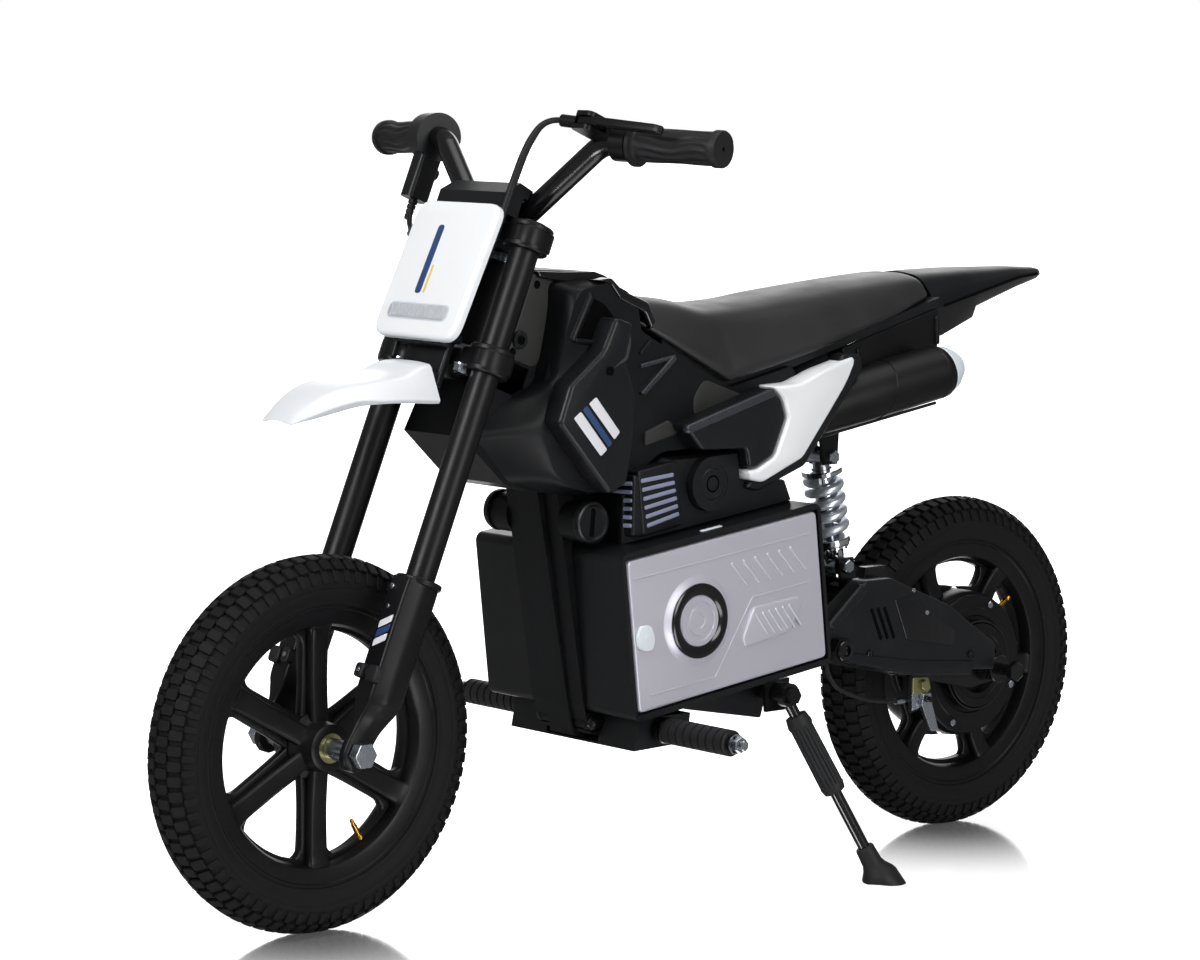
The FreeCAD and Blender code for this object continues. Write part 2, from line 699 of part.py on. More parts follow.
lens_room = block(lens_seat - LENS_HALF - gap, lens_seat + LENS_HALF + gap + Vector(LENS_DEEP + 3, 0, 0))
keep("number_plate", number_plate.cut(lens_room), PLATE)
keep("headlight_lens", lens, PLATE)

clamp_front = D.fork_radius + 4
BRACKET_HALF = 36.0
BRACKET_AHEAD = PLATE_AHEAD - 1.5
BRACKET_DROP = 26.0
bracket = rounded_block(
    Vector(clamp_front, -BRACKET_HALF, D.lower_clamp - BRACKET_DROP),
    Vector(BRACKET_AHEAD, BRACKET_HALF, D.lower_clamp + BRACKET_DROP), Vector(1, 0, 0), 5.0)
bracket_hollow = block(
    Vector(clamp_front + 4, -BRACKET_HALF + 5, D.lower_clamp + 4),
    Vector(BRACKET_AHEAD - 4, BRACKET_HALF - 5, D.lower_clamp + 60))
plate_room = number_plate.copy()
plate_room.Placement = FORK.inverse() * PLATE
plate_room.translate(Vector(-0.3, 0, 0))
keep("plate_bracket", bracket.cut(bracket_hollow).cut(plate_room).removeSplitter(), FORK)

DASH_HALF = 48.0
DASH_LOW = FORK_TOP + 1
DASH_HIGH = CLAMP_TOP + 40
bar_room = CLAMP_TOP + CLAMP_BLOCK_TALL + 1
dash_outline = [
    (30.5, DASH_LOW), (30.5, DASH_LOW + 18), (16, DASH_HIGH), (-26, DASH_HIGH - 4), (-26, bar_room),
    (7, bar_room), (7, DASH_LOW),
]
dash = face_of([Vector(x, -DASH_HALF, z) for x, z in dash_outline]).extrude(Vector(0, 2 * DASH_HALF, 0))
dash = dash.cut(plate_room)
KEY_HALF = Vector(9, 17, 0)
key_low = Vector(-8, 0, DASH_HIGH - 7)
key = rounded_block(key_low - KEY_HALF, key_low + KEY_HALF + Vector(0, 0, 9.5), Vector(0, 0, 1), 5.0)
key_room = rounded_block(
    key_low - KEY_HALF - Vector(0.4, 0.4, BUTTON_TRAVEL + 0.4),
    key_low + KEY_HALF + Vector(0.4, 0.4, 20), Vector(0, 0, 1), 5.4)
dash = dash.cut(key_room).cut(swept(bar_path, D.bar_radius + D.frame_room)).removeSplitter()
keep("dash_cover", max(dash.Solids, key=lambda solid: solid.Volume), FORK)
keep("power_button", key, FORK)

BRACKET_FOOT = FORK.multVec(Vector(BRACKET_AHEAD, 0, D.lower_clamp - BRACKET_DROP))
FENDER_STATIONS = [
    # ahead of the bracket's foot, ridge and edge above the foot, half width at the ridge and at the edge
    (-3, 16.5, -20.5, 34, 50),
    (30, 7, -17, 36, 51),
    (77, 3.5, -16.5, 35, 50),
    (107, -3, -21, 30, 40),
    (132, -16, -29.5, 24, 31),
    (148.5, -29, -35, 17, 24),
]


def fender_skin(drop_by, draw_in, floor_drop):
    """The fender's outside, or its inside when lowered and drawn in."""
    wires = []
    for ahead, ridge, edge, top_half, edge_half in FENDER_STATIONS:
        roof = BRACKET_FOOT.z + ridge - drop_by
        low = BRACKET_FOOT.z + edge - floor_drop
        knee = BRACKET_FOOT.z + edge - draw_in + 2
        x = BRACKET_FOOT.x + ahead
        half = edge_half - draw_in
        wires.append(Part.makePolygon([
            Vector(x, -half, low), Vector(x, -half, knee), Vector(x, -top_half, roof - 4), Vector(x, 0, roof),
            Vector(x, top_half, roof - 4), Vector(x, half, knee), Vector(x, half, low), Vector(x, -half, low)]))
    return Part.makeLoft(wires, True, True)


FENDER_WALL = 3.5
fender = fender_skin(0, 0, 6).cut(fender_skin(FENDER_WALL, FENDER_WALL, 40))
bracket_room = block(
    Vector(-60, -BRACKET_HALF - 0.4, D.lower_clamp - 60),
    Vector(BRACKET_AHEAD + 0.3, BRACKET_HALF + 0.4, UPPER_CLAMP))
bracket_room.Placement = FORK
keep("front_fender", fender.cut(bracket_room))

# Cables of the steering group, in fork lengths
BESIDE_DASH = DASH_HALF + 8
cable_turn = barrel_root + barrel_way * (BARREL_LONG + 20)
cable_points = [
    barrel_root + barrel_way * (BARREL_LONG + D.seat_gap), cable_turn,
    Vector(36, (cable_turn.y + BESIDE_DASH) / 2, CLAMP_TOP + 72), Vector(31, BESIDE_DASH, CLAMP_TOP + 40),
    Vector(27, DASH_HALF + 2.5, CLAMP_TOP + 7), Vector(26, DASH_HALF, CLAMP_TOP - 24),
    Vector(26, DASH_HALF - 4, CLAMP_TOP - 50), Vector(27, DASH_HALF - 12, CLAMP_TOP - 70),
]
lead_points = [
    drop + Vector(0, 0, -66.2), drop + Vector(0, 0, -84), Vector(-6, drop.y + 23, CLAMP_TOP - 8),
    Vector(14, -DASH_HALF - 47, CLAMP_TOP - 16), Vector(25, -DASH_HALF - 26, CLAMP_TOP - 24),
    Vector(27, -BESIDE_DASH, CLAMP_TOP - 38), Vector(27, -DASH_HALF + 4, CLAMP_TOP - 58),
]
for label, points in (("brake_cable", cable_points), ("throttle_lead", lead_points)):
    radii = largest_radii(points)
    path = route(points, radii)
    tube = swept(path, D.cable_radius)
    share = tube.Volume / (math.pi * D.cable_radius ** 2 * path.Length)
    print(label, "length", round(path.Length, 1), "radii", [round(r, 1) for r in radii],
          "volume", round(share, 4))
    keep(label, tube, FORK)

# Frame


def box_point(along, y, above):
    """A point in the battery box's own frame."""
    return BOX.multVec(Vector(along, y, above))


front_low = box_point(D.box_half_long, 0, -D.box_half_tall)
front_high = box_point(D.box_half_long, 0, D.box_half_tall)
head_low = FORK.multVec(on_stem(HEAD_LOW + D.head_bearing))
head_high = FORK.multVec(on_stem(HEAD_HIGH - D.head_bearing))
head_mid = (head_low + head_high) / 2
BACKBONE = [up(70, 320), up(-28, 284), up(-90, 277), up(-180, 284), up(-320, 357), up(-400, 389)]
PIVOT = up(-D.box_half_long - 39.5, 45)
SHOCK_TOP = up(-230, 233)
SHOCK_LOW = up(-255, 117)
PEG = up(75, -10)
STAND = up(-75, 12)
CRADLE = [up(front_low.x - 9.5, -8), PIVOT + Vector(23.5, 0, -20)]
SPINE = [head_mid * 0.76 + BACKBONE[0] * 0.24 - Vector(0, 0, 5), CRADLE[0] + Vector(2, 0, 2)]
SPINE_DEEP = 12.0
WELD = 0.7
HANGER = up(-240, 310)


def frame_tubes(extra):
    """The welded frame's bars, each grown by extra."""
    solids = [rod(head_low, head_high, D.head_radius + extra)]
    line = [head_mid] + BACKBONE
    for start, end in zip(line, line[1:]):
        solids.append(rod(start, end, D.rail_radius + extra))
    for joint in BACKBONE[:-1]:
        solids.append(Part.makeSphere(D.rail_radius + WELD + extra, joint))
    half = D.spine_half + extra
    deep = SPINE_DEEP / 2 + extra
    corners = [SPINE[0] - Vector(deep, half, 0), SPINE[0] + Vector(deep, -half, 0),
               SPINE[0] + Vector(deep, half, 0), SPINE[0] + Vector(-deep, half, 0)]
    solids.append(face_of(corners).extrude(SPINE[1] - SPINE[0] - Vector(0, 0, extra)))
    cradle = D.cradle_radius + extra
    for side in SIDES:
        out = Vector(0, side * D.cradle_half, 0)
        rails = [CRADLE[0] + out, CRADLE[1] + out, PIVOT + out]
        solids += [rod(start, end, cradle) for start, end in zip(rails, rails[1:])]
        solids += [Part.makeSphere(cradle + WELD, joint) for joint in rails[:2]]
    wide = Vector(0, D.cradle_half, 0)
    solids.append(rod(CRADLE[0] - wide, CRADLE[0] + wide, cradle))
    solids.append(rod(PEG - Vector(0, 98, 0), PEG + Vector(0, 98, 0), cradle))
    solids.append(rod(STAND, STAND + Vector(0, D.stand_out - 14, 0), cradle))
    solids.append(rod(STAND - wide, STAND, cradle))
    pivot_half = Vector(0, D.arm_inner - 4, 0)
    solids.append(rod(PIVOT - pivot_half, PIVOT + pivot_half, D.pivot_radius + 6 + extra))
    solids.append(rod(PIVOT + Vector(4, 0, 8), up(PIVOT.x + 23.5, 278), D.rail_radius - 2 + extra))
    hanger = Vector(0, D.silencer_out - 10, 0)
    solids.append(rod(HANGER - hanger, HANGER + hanger, 6 + extra))
    return solids


ear_outline = [(-239, 225), (-221, 225), (-206, 288), (-243, 305)]
EAR_IN = 13.0
EAR_OUT = 17.0
ears = [slab(ear_outline, low, high) for low, high in ((EAR_IN, EAR_OUT), (-EAR_OUT, -EAR_IN))]
ear_block = slab([(-206, 288), (-243, 305), (-246, 322), (-206, 302)], -EAR_OUT, EAR_OUT)
ear_pin = rod(SHOCK_TOP - Vector(0, EAR_OUT, 0), SHOCK_TOP + Vector(0, EAR_OUT, 0), D.shock_pin)
seat_post = rod(up(-250, 318), up(-250, 364.1), 7.0)
frame = fused(frame_tubes(0.0) + ears + [ear_block, ear_pin, seat_post])
head_bore = rod(FORK.multVec(on_stem(HEAD_LOW)), FORK.multVec(on_stem(HEAD_HIGH)), D.head_bore)
pivot_bore = rod(PIVOT - Vector(0, 80, 0), PIVOT + Vector(0, 80, 0), D.pivot_radius)
frame = frame.cut(head_bore).cut(pivot_bore)
frame_space = fused(frame_tubes(D.frame_room))

BOLT_HALF = D.cover_out + 2
pivot_bolt = rod(PIVOT - Vector(0, BOLT_HALF, 0), PIVOT + Vector(0, BOLT_HALF, 0), D.pivot_radius)
bolt_heads = [hex_bar(PIVOT, side * BOLT_HALF, side * (BOLT_HALF + 9), 24) for side in SIDES]
pivot_bolt = fused([pivot_bolt] + bolt_heads)

# Moulded body: a narrow neck, wider flanks and a column down the front of the battery box
CORE = [
    (205, 438), (130, 435), (104, 422), (96, 414), (90, 374), (-28, 311), (-118, 330), (-138, 292), (-106, 226),
    (-60, 235), (-34, 259), (60, 257), (112, 224), (150, 220), (208, 227), (236, 235), (288, 283),
]
FLANK = [
    (178, 420), (130, 428), (104, 417), (95, 409), (89, 374), (-28, 311), (-118, 330), (-138, 292), (-106, 226),
    (-60, 235), (-34, 259), (60, 257), (112, 224), (150, 220), (186, 232), (214, 292), (196, 345),
]
FLANK_EDGE = 14.0
FLANK_SHARE = 0.94
wall = D.shell_wall
core = slab(CORE, 0, D.neck_half)
flank = bevelled(FLANK, 0, D.flank_half, FLANK_EDGE, FLANK_SHARE)
hollow = slab(CORE, -1, D.neck_half - wall, wall)
flank_hollow = slab(shrunk(FLANK, FLANK_SHARE), -1, D.flank_half - wall, wall)

COLUMN_BACK = [
    (front_low.x - 16, front_low.z - AXLE - 0.5), (front_low.x + 0.5, front_low.z - AXLE - 0.5),
    (front_high.x + 0.5, front_high.z - AXLE), (front_high.x + 0.5, 224),
]
RIDGE_HALF = 17.0
TIER_HALF = 38.0
NOSE = front_low.x
ridge_line = [(NOSE + 49.6, 224), (NOSE + 6.6, 11), (NOSE - 1.4, -22), (NOSE - 18.4, -26)]
tier_line = [(NOSE + 42.6, 224), (NOSE + 4.1, 11), (NOSE - 4.4, -18), (NOSE - 18.4, -21)]
ridge = slab(ridge_line + COLUMN_BACK, 0, RIDGE_HALF)
tier = slab(tier_line + COLUMN_BACK, 0, TIER_HALF)
head_room = rod(FORK.multVec(on_stem(D.lower_clamp - 4)), FORK.multVec(on_stem(CLAMP_TOP)), D.head_radius + 2)
clamp_room = block(
    Vector(-66, -90, D.lower_clamp - 6), Vector(60, 90, D.lower_clamp + D.clamp_thick + 6))
top_room = block(Vector(-D.stem_back - 22, -90, UPPER_CLAMP - 2), Vector(60, 90, CLAMP_TOP + 30))
for room in (clamp_room, top_room):
    room.Placement = FORK
shell = core.fuse(flank).cut(hollow).cut(flank_hollow).fuse(ridge).fuse(tier)
shell = shell.cut(head_room).cut(clamp_room).cut(top_room).cut(frame_space).removeSplitter()
shell = max(shell.Solids, key=lambda solid: solid.Volume)

SHROUD = [
    (212, 295), (147, 224), (125, 234), (117, 275), (114, 317), (128, 353), (119, 387), (142, 394), (158, 362),
    (198, 332),
]
shroud = tray(SHROUD, D.flank_half + 0.3, D.panel_half, 6.0, 0.93, wall)
SIDE_COVER = [
    (51, 285), (-67, 317), (-80, 306), (-87, 287), (-70, 249.5), (-46, 238.5), (-36, 240), (-32, 259),
    (27, 260),
]
side_cover = tray(SIDE_COVER, D.flank_half + 0.3, D.panel_half, 8.0, 0.9, wall)
WHITE_PANEL = [
    (-68, 318.5), (-103, 320), (-138, 332), (-180, 342), (-183, 322), (-115, 245), (-54, 224), (-37, 228),
    (-36, 237), (-46, 237), (-71, 248.5), (-88.5, 287), (-81, 307),
]
white_panel = tray(WHITE_PANEL, D.flank_half + 0.3, D.panel_half + 2, 5.0, 0.93, wall)
for label, cover in (("shrouds", shroud), ("side_covers", side_cover), ("side_panels", white_panel)):
    keep(label, both(cover))


def box_top(x, gap):
    """Height above the axles of the battery box's top at x, plus a gap."""
    rise = math.tan(math.radians(D.box_tilt))
    return D.box_height + D.box_half_tall / math.cos(math.radians(D.box_tilt)) - rise * x + gap


ENGINE = [
    (110, box_top(110, 0.1)), (110, 220), (60, 253), (-35, 255), (-61, 231), (-106, 222),
    (-116, box_top(-116, 0.1)),
]
ENGINE_HALF = 82.0
engine = bevelled(ENGINE, 0, ENGINE_HALF, 10.0, 0.93)
engine = engine.cut(slab(shrunk(ENGINE, 0.93), -1, ENGINE_HALF - wall, wall)).cut(frame_space)
SLOT_COUNT = 6
SLOT_PITCH = 10.5
slots = []
for count in range(SLOT_COUNT):
    height = 189 + count * SLOT_PITCH
    slots.append(slab([(52, height), (52, height + 5), (100, height + 5), (100, height)],
                      ENGINE_HALF - 1.5, ENGINE_HALF + 5))
for groove in slots:
    engine = engine.cut(groove)
CLUTCH = up(8, 226)
CLUTCH_RADIUS = 27.0
clutch_in = CLUTCH + Vector(0, ENGINE_HALF, 0)
clutch = rod(clutch_in, clutch_in + Vector(0, 9, 0), CLUTCH_RADIUS)
clutch = clutch.cut(ring(clutch_in + Vector(0, 6, 0), clutch_in + Vector(0, 9, 0), 20.0, 14.0))
engine = engine.fuse(clutch)
for outline in (SIDE_COVER, WHITE_PANEL):
    engine = engine.cut(slab(outline, D.flank_half - 0.1, D.panel_half + 9, -0.5))
engine = engine.removeSplitter()
keep("engine_covers", both(max(engine.Solids, key=lambda solid: solid.Volume)))

CAP = up(144, 194)
CAP_RADIUS = 19.5
cap = rod(CAP + Vector(0, TIER_HALF, 0), CAP + Vector(0, 69, 0), CAP_RADIUS)
cap = cap.cut(block(CAP + Vector(-2.5, 66, -14), CAP + Vector(2.5, 70, 14)))
shell = shell.fuse(cap).removeSplitter()
keep("body_shell_left", shell)
keep("body_shell_right", mirrored(shell).cut(frame_space))


# Battery box and what it holds, in the box's own frame
def in_box(low, high):
    """A block between two corners of the box's frame."""
    return block(Vector(*low), Vector(*high))


LONG, TALL, WIDE = D.box_half_long, D.box_half_tall, D.box_half_wide
BORDER = WIDE + D.door_thick
outer_box = rounded_block(Vector(-LONG, -BORDER, -TALL), Vector(LONG, BORDER, TALL), Y_AXIS, 9.0)
recess_long = D.door_half_long + 2
recess_tall = D.door_half_tall + 2
inner_long = LONG - D.box_wall
inner_tall = TALL - D.box_wall
inner_wide = WIDE - D.box_wall
box_shell = outer_box.cut(in_box((-inner_long, -inner_wide, -inner_tall), (inner_long, inner_wide, inner_tall)))
for side in SIDES:
    low_y, high_y = sorted((side * WIDE, side * (BORDER + 1)))
    box_shell = box_shell.cut(in_box((-recess_long, low_y, -recess_tall), (recess_long, high_y, recess_tall)))
WINDOW = 14.0
box_shell = box_shell.cut(in_box(
    (-recess_long + WINDOW, 0, -recess_tall + WINDOW), (recess_long - WINDOW, BORDER, recess_tall - WINDOW)))
frame_in_box = frame_space.copy()
frame_in_box.Placement = BOX.inverse() * frame_in_box.Placement
box_shell = box_shell.cut(frame_in_box).removeSplitter()
PACK_FLOOR = -inner_tall + D.seat_gap
keep("battery_pack", rounded_block(
    Vector(-inner_long + 6, -82, PACK_FLOOR), Vector(58, 82, PACK_FLOOR + 100), Vector(1, 0, 0), 6.0), BOX)
keep("controller", rounded_block(
    Vector(64, -60, PACK_FLOOR), Vector(94, 60, PACK_FLOOR + 110), Y_AXIS, 4.0), BOX)


LOUVRE = [(-30, -2.6), (-93.7, -3.9), (-98.3, -12.3), (-78.2, -38.4), (-15.6, -40.9), (-11.3, -31.6)]


def door_blank(side):
    """The ribbed satin panel that closes one side of the box."""
    inner = WIDE + D.seat_gap
    outer = WIDE + D.door_thick
    low_y, high_y = sorted((side * inner, side * outer))
    panel = rounded_block(
        Vector(-D.door_half_long, low_y, -D.door_half_tall), Vector(D.door_half_long, high_y, D.door_half_tall),
        Y_AXIS, 4.0)
    centre = Vector(43, side * outer, 0)
    panel = panel.fuse(rod(centre - Vector(0, side, 0), centre + Vector(0, side * 5, 0), 36.0))
    panel = panel.cut(rod(centre + Vector(0, side * 3, 0), centre + Vector(0, side * 6, 0), 26.5))
    raised = face_of([Vector(along, side * outer, above) for along, above in LOUVRE])
    return panel.fuse(raised.extrude(Vector(0, side * 2.5, 0)))


LATCH_RADIUS = 12.0
LATCH_TALL = 3.2
LATCH_PIN = 3.0
latch_face = Vector(D.door_half_long - 15, WIDE + D.door_thick, -3)
latch_low = latch_face + Vector(0, 0.3, 0)
latch_high = latch_low + Vector(0, LATCH_TALL, 0)
KNUCKLE_RADIUS = 1.9
hinge_foot = Vector(-D.door_half_long + 0.4, WIDE + D.door_thick - 1, 0)
door = door_blank(1).fuse(rod(latch_face - Vector(0, 2, 0), latch_high, LATCH_PIN))
for low, high in ((-60, -20), (20, 60)):
    door = door.fuse(rod(hinge_foot + Vector(0, 0, low), hinge_foot + Vector(0, 0, high), KNUCKLE_RADIUS))
keep("battery_door", door.removeSplitter(), BOX)
keep("right_panel", door_blank(-1).removeSplitter(), BOX)
keep("door_latch", ring(latch_low, latch_high, LATCH_RADIUS, LATCH_PIN + D.running_gap), BOX)

BELLY = [(NOSE - 14.4, -29), (38, -27), (34, 2), (NOSE - 20.4, 2)]
BELLY_HALF = 92.0
belly = slab(BELLY, -BELLY_HALF, BELLY_HALF)
belly_hollow = [(x, z + 20 if z > 0 else z) for x, z in BELLY]
belly = belly.cut(slab(belly_hollow, -BELLY_HALF + wall, BELLY_HALF - wall, wall))
column_room = slab(ridge_line[:2] + [(NOSE - 1.4, -27), (NOSE - 22.4, -27), (NOSE - 22.4, 30)],
                   -TIER_HALF - 0.4, TIER_HALF + 0.4)
belly = belly.cut(frame_space).cut(column_room)
box_room = outer_box.copy()
box_room.Placement = BOX
box_room.translate(Vector(0, 0, -0.3))
belly = belly.cut(box_room)
belly = max(belly.Solids, key=lambda solid: solid.Volume)
belly.Placement = BOX.inverse() * belly.Placement
keep("battery_box", pieces([box_shell, belly]), BOX)

# Seat: a shaped pan and a cushion with a crown and drawn-in sides
SEAT = [
    # x, underside height, half width below, shoulder height, half width at the shoulder, crown height
    (84, 386, 34, 396, 26, 400),
    (56, 374, 56, 400, 40, 407),
    (20, 353, 68, 396, 48, 406),
    (-28, 326, 78, 388, 54, 399),
    (-90, 337, 79, 390, 57, 401),
    (-148, 350, 79, 396, 58, 408),
    (-250, 376, 72, 408, 54, 418),
    (-335, 398, 52, 416, 44, 423),
]


def seat_section(x, low, low_half, shoulder, shoulder_half, crown):
    """One section of the cushion: flat below, sides drawn in, an arc over the top."""
    scale = D.seat_half / 78.0
    a = Vector(x, -low_half * scale, AXLE + low)
    b = Vector(x, low_half * scale, AXLE + low)
    c = Vector(x, shoulder_half * scale, AXLE + shoulder)
    e = Vector(x, -shoulder_half * scale, AXLE + shoulder)
    lines = [Part.LineSegment(a, b).toShape(), Part.LineSegment(b, c).toShape()]
    arc = Part.Arc(c, Vector(x, 0, AXLE + crown), e).toShape()
    return Part.Wire(lines + [arc, Part.LineSegment(e, a).toShape()])


keep("seat_cushion", Part.makeLoft([seat_section(*row) for row in SEAT], True, True))
PAN_THICK = 9.5
pan_top = [(x, low - 0.3) for x, low, *_ in SEAT if x < 80]
SEAT_LINE = [(90, 374), (-28, 311), (-118, 330)]


def body_top(x):
    """Height of the body's seat line at x, or None behind the body."""
    for (x0, z0), (x1, z1) in zip(SEAT_LINE, SEAT_LINE[1:]):
        if x1 <= x <= x0:
            return z0 + (z1 - z0) * (x - x0) / (x1 - x0)
    return None


pan_under = []
for x, z in reversed(pan_top):
    rest = body_top(x)
    pan_under.append((x, z - PAN_THICK if rest is None else rest + 0.6))
pan_outline = pan_top + pan_under
keep("seat_base", slab(pan_outline, -66, 66).cut(frame_space))

TAIL = [
    # x, top height, half width on top, underside height, half width below
    (-337, 421, 46, 362, 58),
    (-354, 421.5, 44, 356, 56),
    (-409, 423, 39, 372.7, 47.5),
    (-414, 423, 38.5, 382, 47),
    (-500, 422, 20, 405, 24),
    (-555, 420, 5, 414, 6),
]


def tail_skin(inset):
    """The tail cover's outside, or its inside when inset."""
    wires = []
    for x, top, top_half, low, low_half in TAIL:
        rise = min(inset, 0.3 * (top - low))
        side = min(inset, 0.5 * top_half)
        corners = [up(x, low + rise, low_half - side), up(x, top - rise, top_half - side),
                   up(x, top - rise, side - top_half), up(x, low + rise, side - low_half)]
        wires.append(Part.makePolygon(corners + corners[:1]))
    return Part.makeLoft(wires, True, True)


keep("tail_cover", tail_skin(0).cut(tail_skin(wall)).cut(frame_space))

SILENCER_START = up(-166, 291, D.silencer_out)
SILENCER_END = up(-318, 325, D.silencer_out)
silencer_line = (SILENCER_END - SILENCER_START).normalize()
silencer_in = D.silencer_radius - wall
silencer = turned([(0, 0), (0, D.silencer_radius - 6), (8, D.silencer_radius), (155, D.silencer_radius),
                   (155, silencer_in), (12, silencer_in), (12, 0)], SILENCER_START, SILENCER_END)
hanger_room = rod(HANGER, HANGER + Vector(0, D.silencer_out, 0), 6.2)
panel_room = slab([(-60, 200), (-170, 300), (-183, 322), (-180, 345), (-60, 345)], 0, D.panel_half + 2.4)
# The web that hangs each silencer below the seat
WEB = [(-196, 298), (-192, 350.6), (-250, 365.6), (-333, 386.8), (-333, 349), (-330, 328)]
web_in = D.silencer_out - D.silencer_radius + 2.5
web_room = rod(SILENCER_START - silencer_line * 20, SILENCER_END + silencer_line * 40, silencer_in + 1)
web = slab(WEB, web_in, web_in + 4).cut(web_room)
silencer = silencer.fuse(web).cut(hanger_room).removeSplitter()
tip_start = SILENCER_START + silencer_line * 155
tip_profile = [
    (0.1, silencer_in - 0.2), (0.1, D.silencer_radius), (26, 17), (26, 13), (4, 17), (4, silencer_in - 4),
    (-14, silencer_in - 4), (-14, silencer_in - 0.2),
]
tip = turned(tip_profile, tip_start, tip_start + silencer_line)
keep("silencers", pieces(both(silencer.cut(panel_room)).Solids + both(tip).Solids))

# Rear suspension
beam_in = D.arm_inner
beam_out = beam_in + D.arm_thick
half_tall = D.arm_tall / 2
AXLE_BACK = -D.rear_reach
BEAM_NOSE = PIVOT.x + 13.5
beam_outline = [
    (BEAM_NOSE, 45 + half_tall - 2), (BEAM_NOSE, 45 - half_tall), (AXLE_BACK + 30, -half_tall - 6),
    (AXLE_BACK - 14, -half_tall), (AXLE_BACK - 14, half_tall), (AXLE_BACK + 60, half_tall + 6),
]
brace_outline = [
    (PIVOT.x - 16.5, 50), (-232, 100), (-236, 122), (-266, 122), (-268, 100), (-300, 36), (-280, 30),
    (-252, 92), (-214, 50),
]
beam = slab(beam_outline, beam_in, beam_out).fuse(slab(brace_outline, beam_in, beam_out))
cross_spots = [up(-216, 36), up(-264, 94)]
arm = beam.fuse(mirrored(beam))
for spot in cross_spots:
    arm = arm.fuse(rod(spot - Vector(0, beam_in + 2, 0), spot + Vector(0, beam_in + 2, 0), 9.0))
LOW_EAR = [(-274, 92), (-250, 92), (-244, 126), (-266, 126)]
for low, high in ((EAR_IN, EAR_OUT), (-EAR_OUT, -EAR_IN)):
    arm = arm.fuse(slab(LOW_EAR, low, high))
arm = arm.fuse(rod(SHOCK_LOW - Vector(0, EAR_OUT, 0), SHOCK_LOW + Vector(0, EAR_OUT, 0), D.shock_pin))
arm = arm.cut(rod(PIVOT - Vector(0, 90, 0), PIVOT + Vector(0, 90, 0), D.pivot_radius + D.running_gap))
arm = arm.cut(rod(at(REAR, -90), at(REAR, 90), D.axle_radius))
keep("swing_arm", arm.removeSplitter())

COVER_NOSE = PIVOT.x + 17.5
SWING_COVER = [
    (COVER_NOSE, 69), (-216, 112), (-254, 112), (-344, 76), (-377, 54), (-414, 31), (-414, 2), (-246, 14),
    (PIVOT.x - 12.5, 32), (COVER_NOSE, 32),
]
swing_cover = tray(SWING_COVER, beam_out + 0.2, D.cover_out, 5.0, 0.95, wall)
VENT_COUNT = 3
for count in range(VENT_COUNT):
    x = -236 - 11 * count
    vent = [(x, 52), (x - 5, 52), (x + 4, 90), (x + 9, 90)]
    swing_cover = swing_cover.cut(slab(vent, D.cover_out - 10, D.cover_out + 1))
bolt_room = rod(PIVOT, PIVOT + Vector(0, 120, 0), D.pivot_radius + 0.4)
swing_cover = swing_cover.cut(bolt_room).removeSplitter()
keep("swing_covers", both(swing_cover))

REAR_TIP = D.cover_out + 12
rear_axle = rod(at(REAR, -REAR_TIP), at(REAR, REAR_TIP), D.axle_radius)
nuts = [hex_bar(REAR, side * (beam_out + 0.1), side * (beam_out + 12), 24) for side in SIDES]
rear_spacers = both(ring(at(REAR, DRUM_FACE + 1), at(REAR, beam_in - 0.2), D.axle_radius + 5, D.axle_radius))
keep("rear_axle", fused([rear_axle] + nuts + rear_spacers.Solids))

# Shock absorber: z runs from the lower eye up to the upper eye
shock_line = SHOCK_TOP - SHOCK_LOW
SHOCK_LONG = shock_line.Length
SHOCK = Placement(SHOCK_LOW, Rotation(Vector(0, 0, 1), shock_line))
EYE_HALF = 10.0
COIL_LOW = 30.0
COIL_HIGH = SHOCK_LONG - 20.0
SEAT_RADIUS = D.spring_radius + D.wire_radius


def eye(height, radius):
    """A round bar across the shock at one of its eyes."""
    centre = Vector(0, 0, height)
    along = Vector(0, EYE_HALF, 0)
    return rod(centre - along, centre + along, radius)


top_eye = eye(SHOCK_LONG, D.shock_eye)
top_bore = eye(SHOCK_LONG, D.shock_pin + D.running_gap)
upper = [top_eye, rod(Vector(0, 0, 56), Vector(0, 0, SHOCK_LONG), 9.0)]
upper.append(rod(Vector(0, 0, COIL_HIGH), Vector(0, 0, COIL_HIGH + 4), SEAT_RADIUS))
upper_body = fused(upper).cut(rod(Vector(0, 0, 50), Vector(0, 0, SHOCK_LONG - 14), 6.0)).cut(top_bore)
keep("shock_body", upper_body, SHOCK)
PIN_SLACK = 0.6
low_bore = eye(0, D.shock_pin + PIN_SLACK)
lower = [eye(0, D.shock_eye), rod(Vector(0, 0, 0), Vector(0, 0, 84), 5.0)]
lower.append(rod(Vector(0, 0, 0), Vector(0, 0, COIL_LOW), 9.5))
lower.append(rod(Vector(0, 0, COIL_LOW - 7), Vector(0, 0, COIL_LOW), SEAT_RADIUS))
keep("shock_rod", fused(lower).cut(low_bore), SHOCK)


def helix_point(turn, pitch, start):
    """A point of the spring's centre line and its direction."""
    angle = 2 * math.pi * turn
    radius = D.spring_radius
    point = Vector(radius * math.cos(angle), radius * math.sin(angle), start + pitch * turn)
    along = Vector(-radius * math.sin(angle), radius * math.cos(angle), pitch / (2 * math.pi))
    return point, along.normalize()


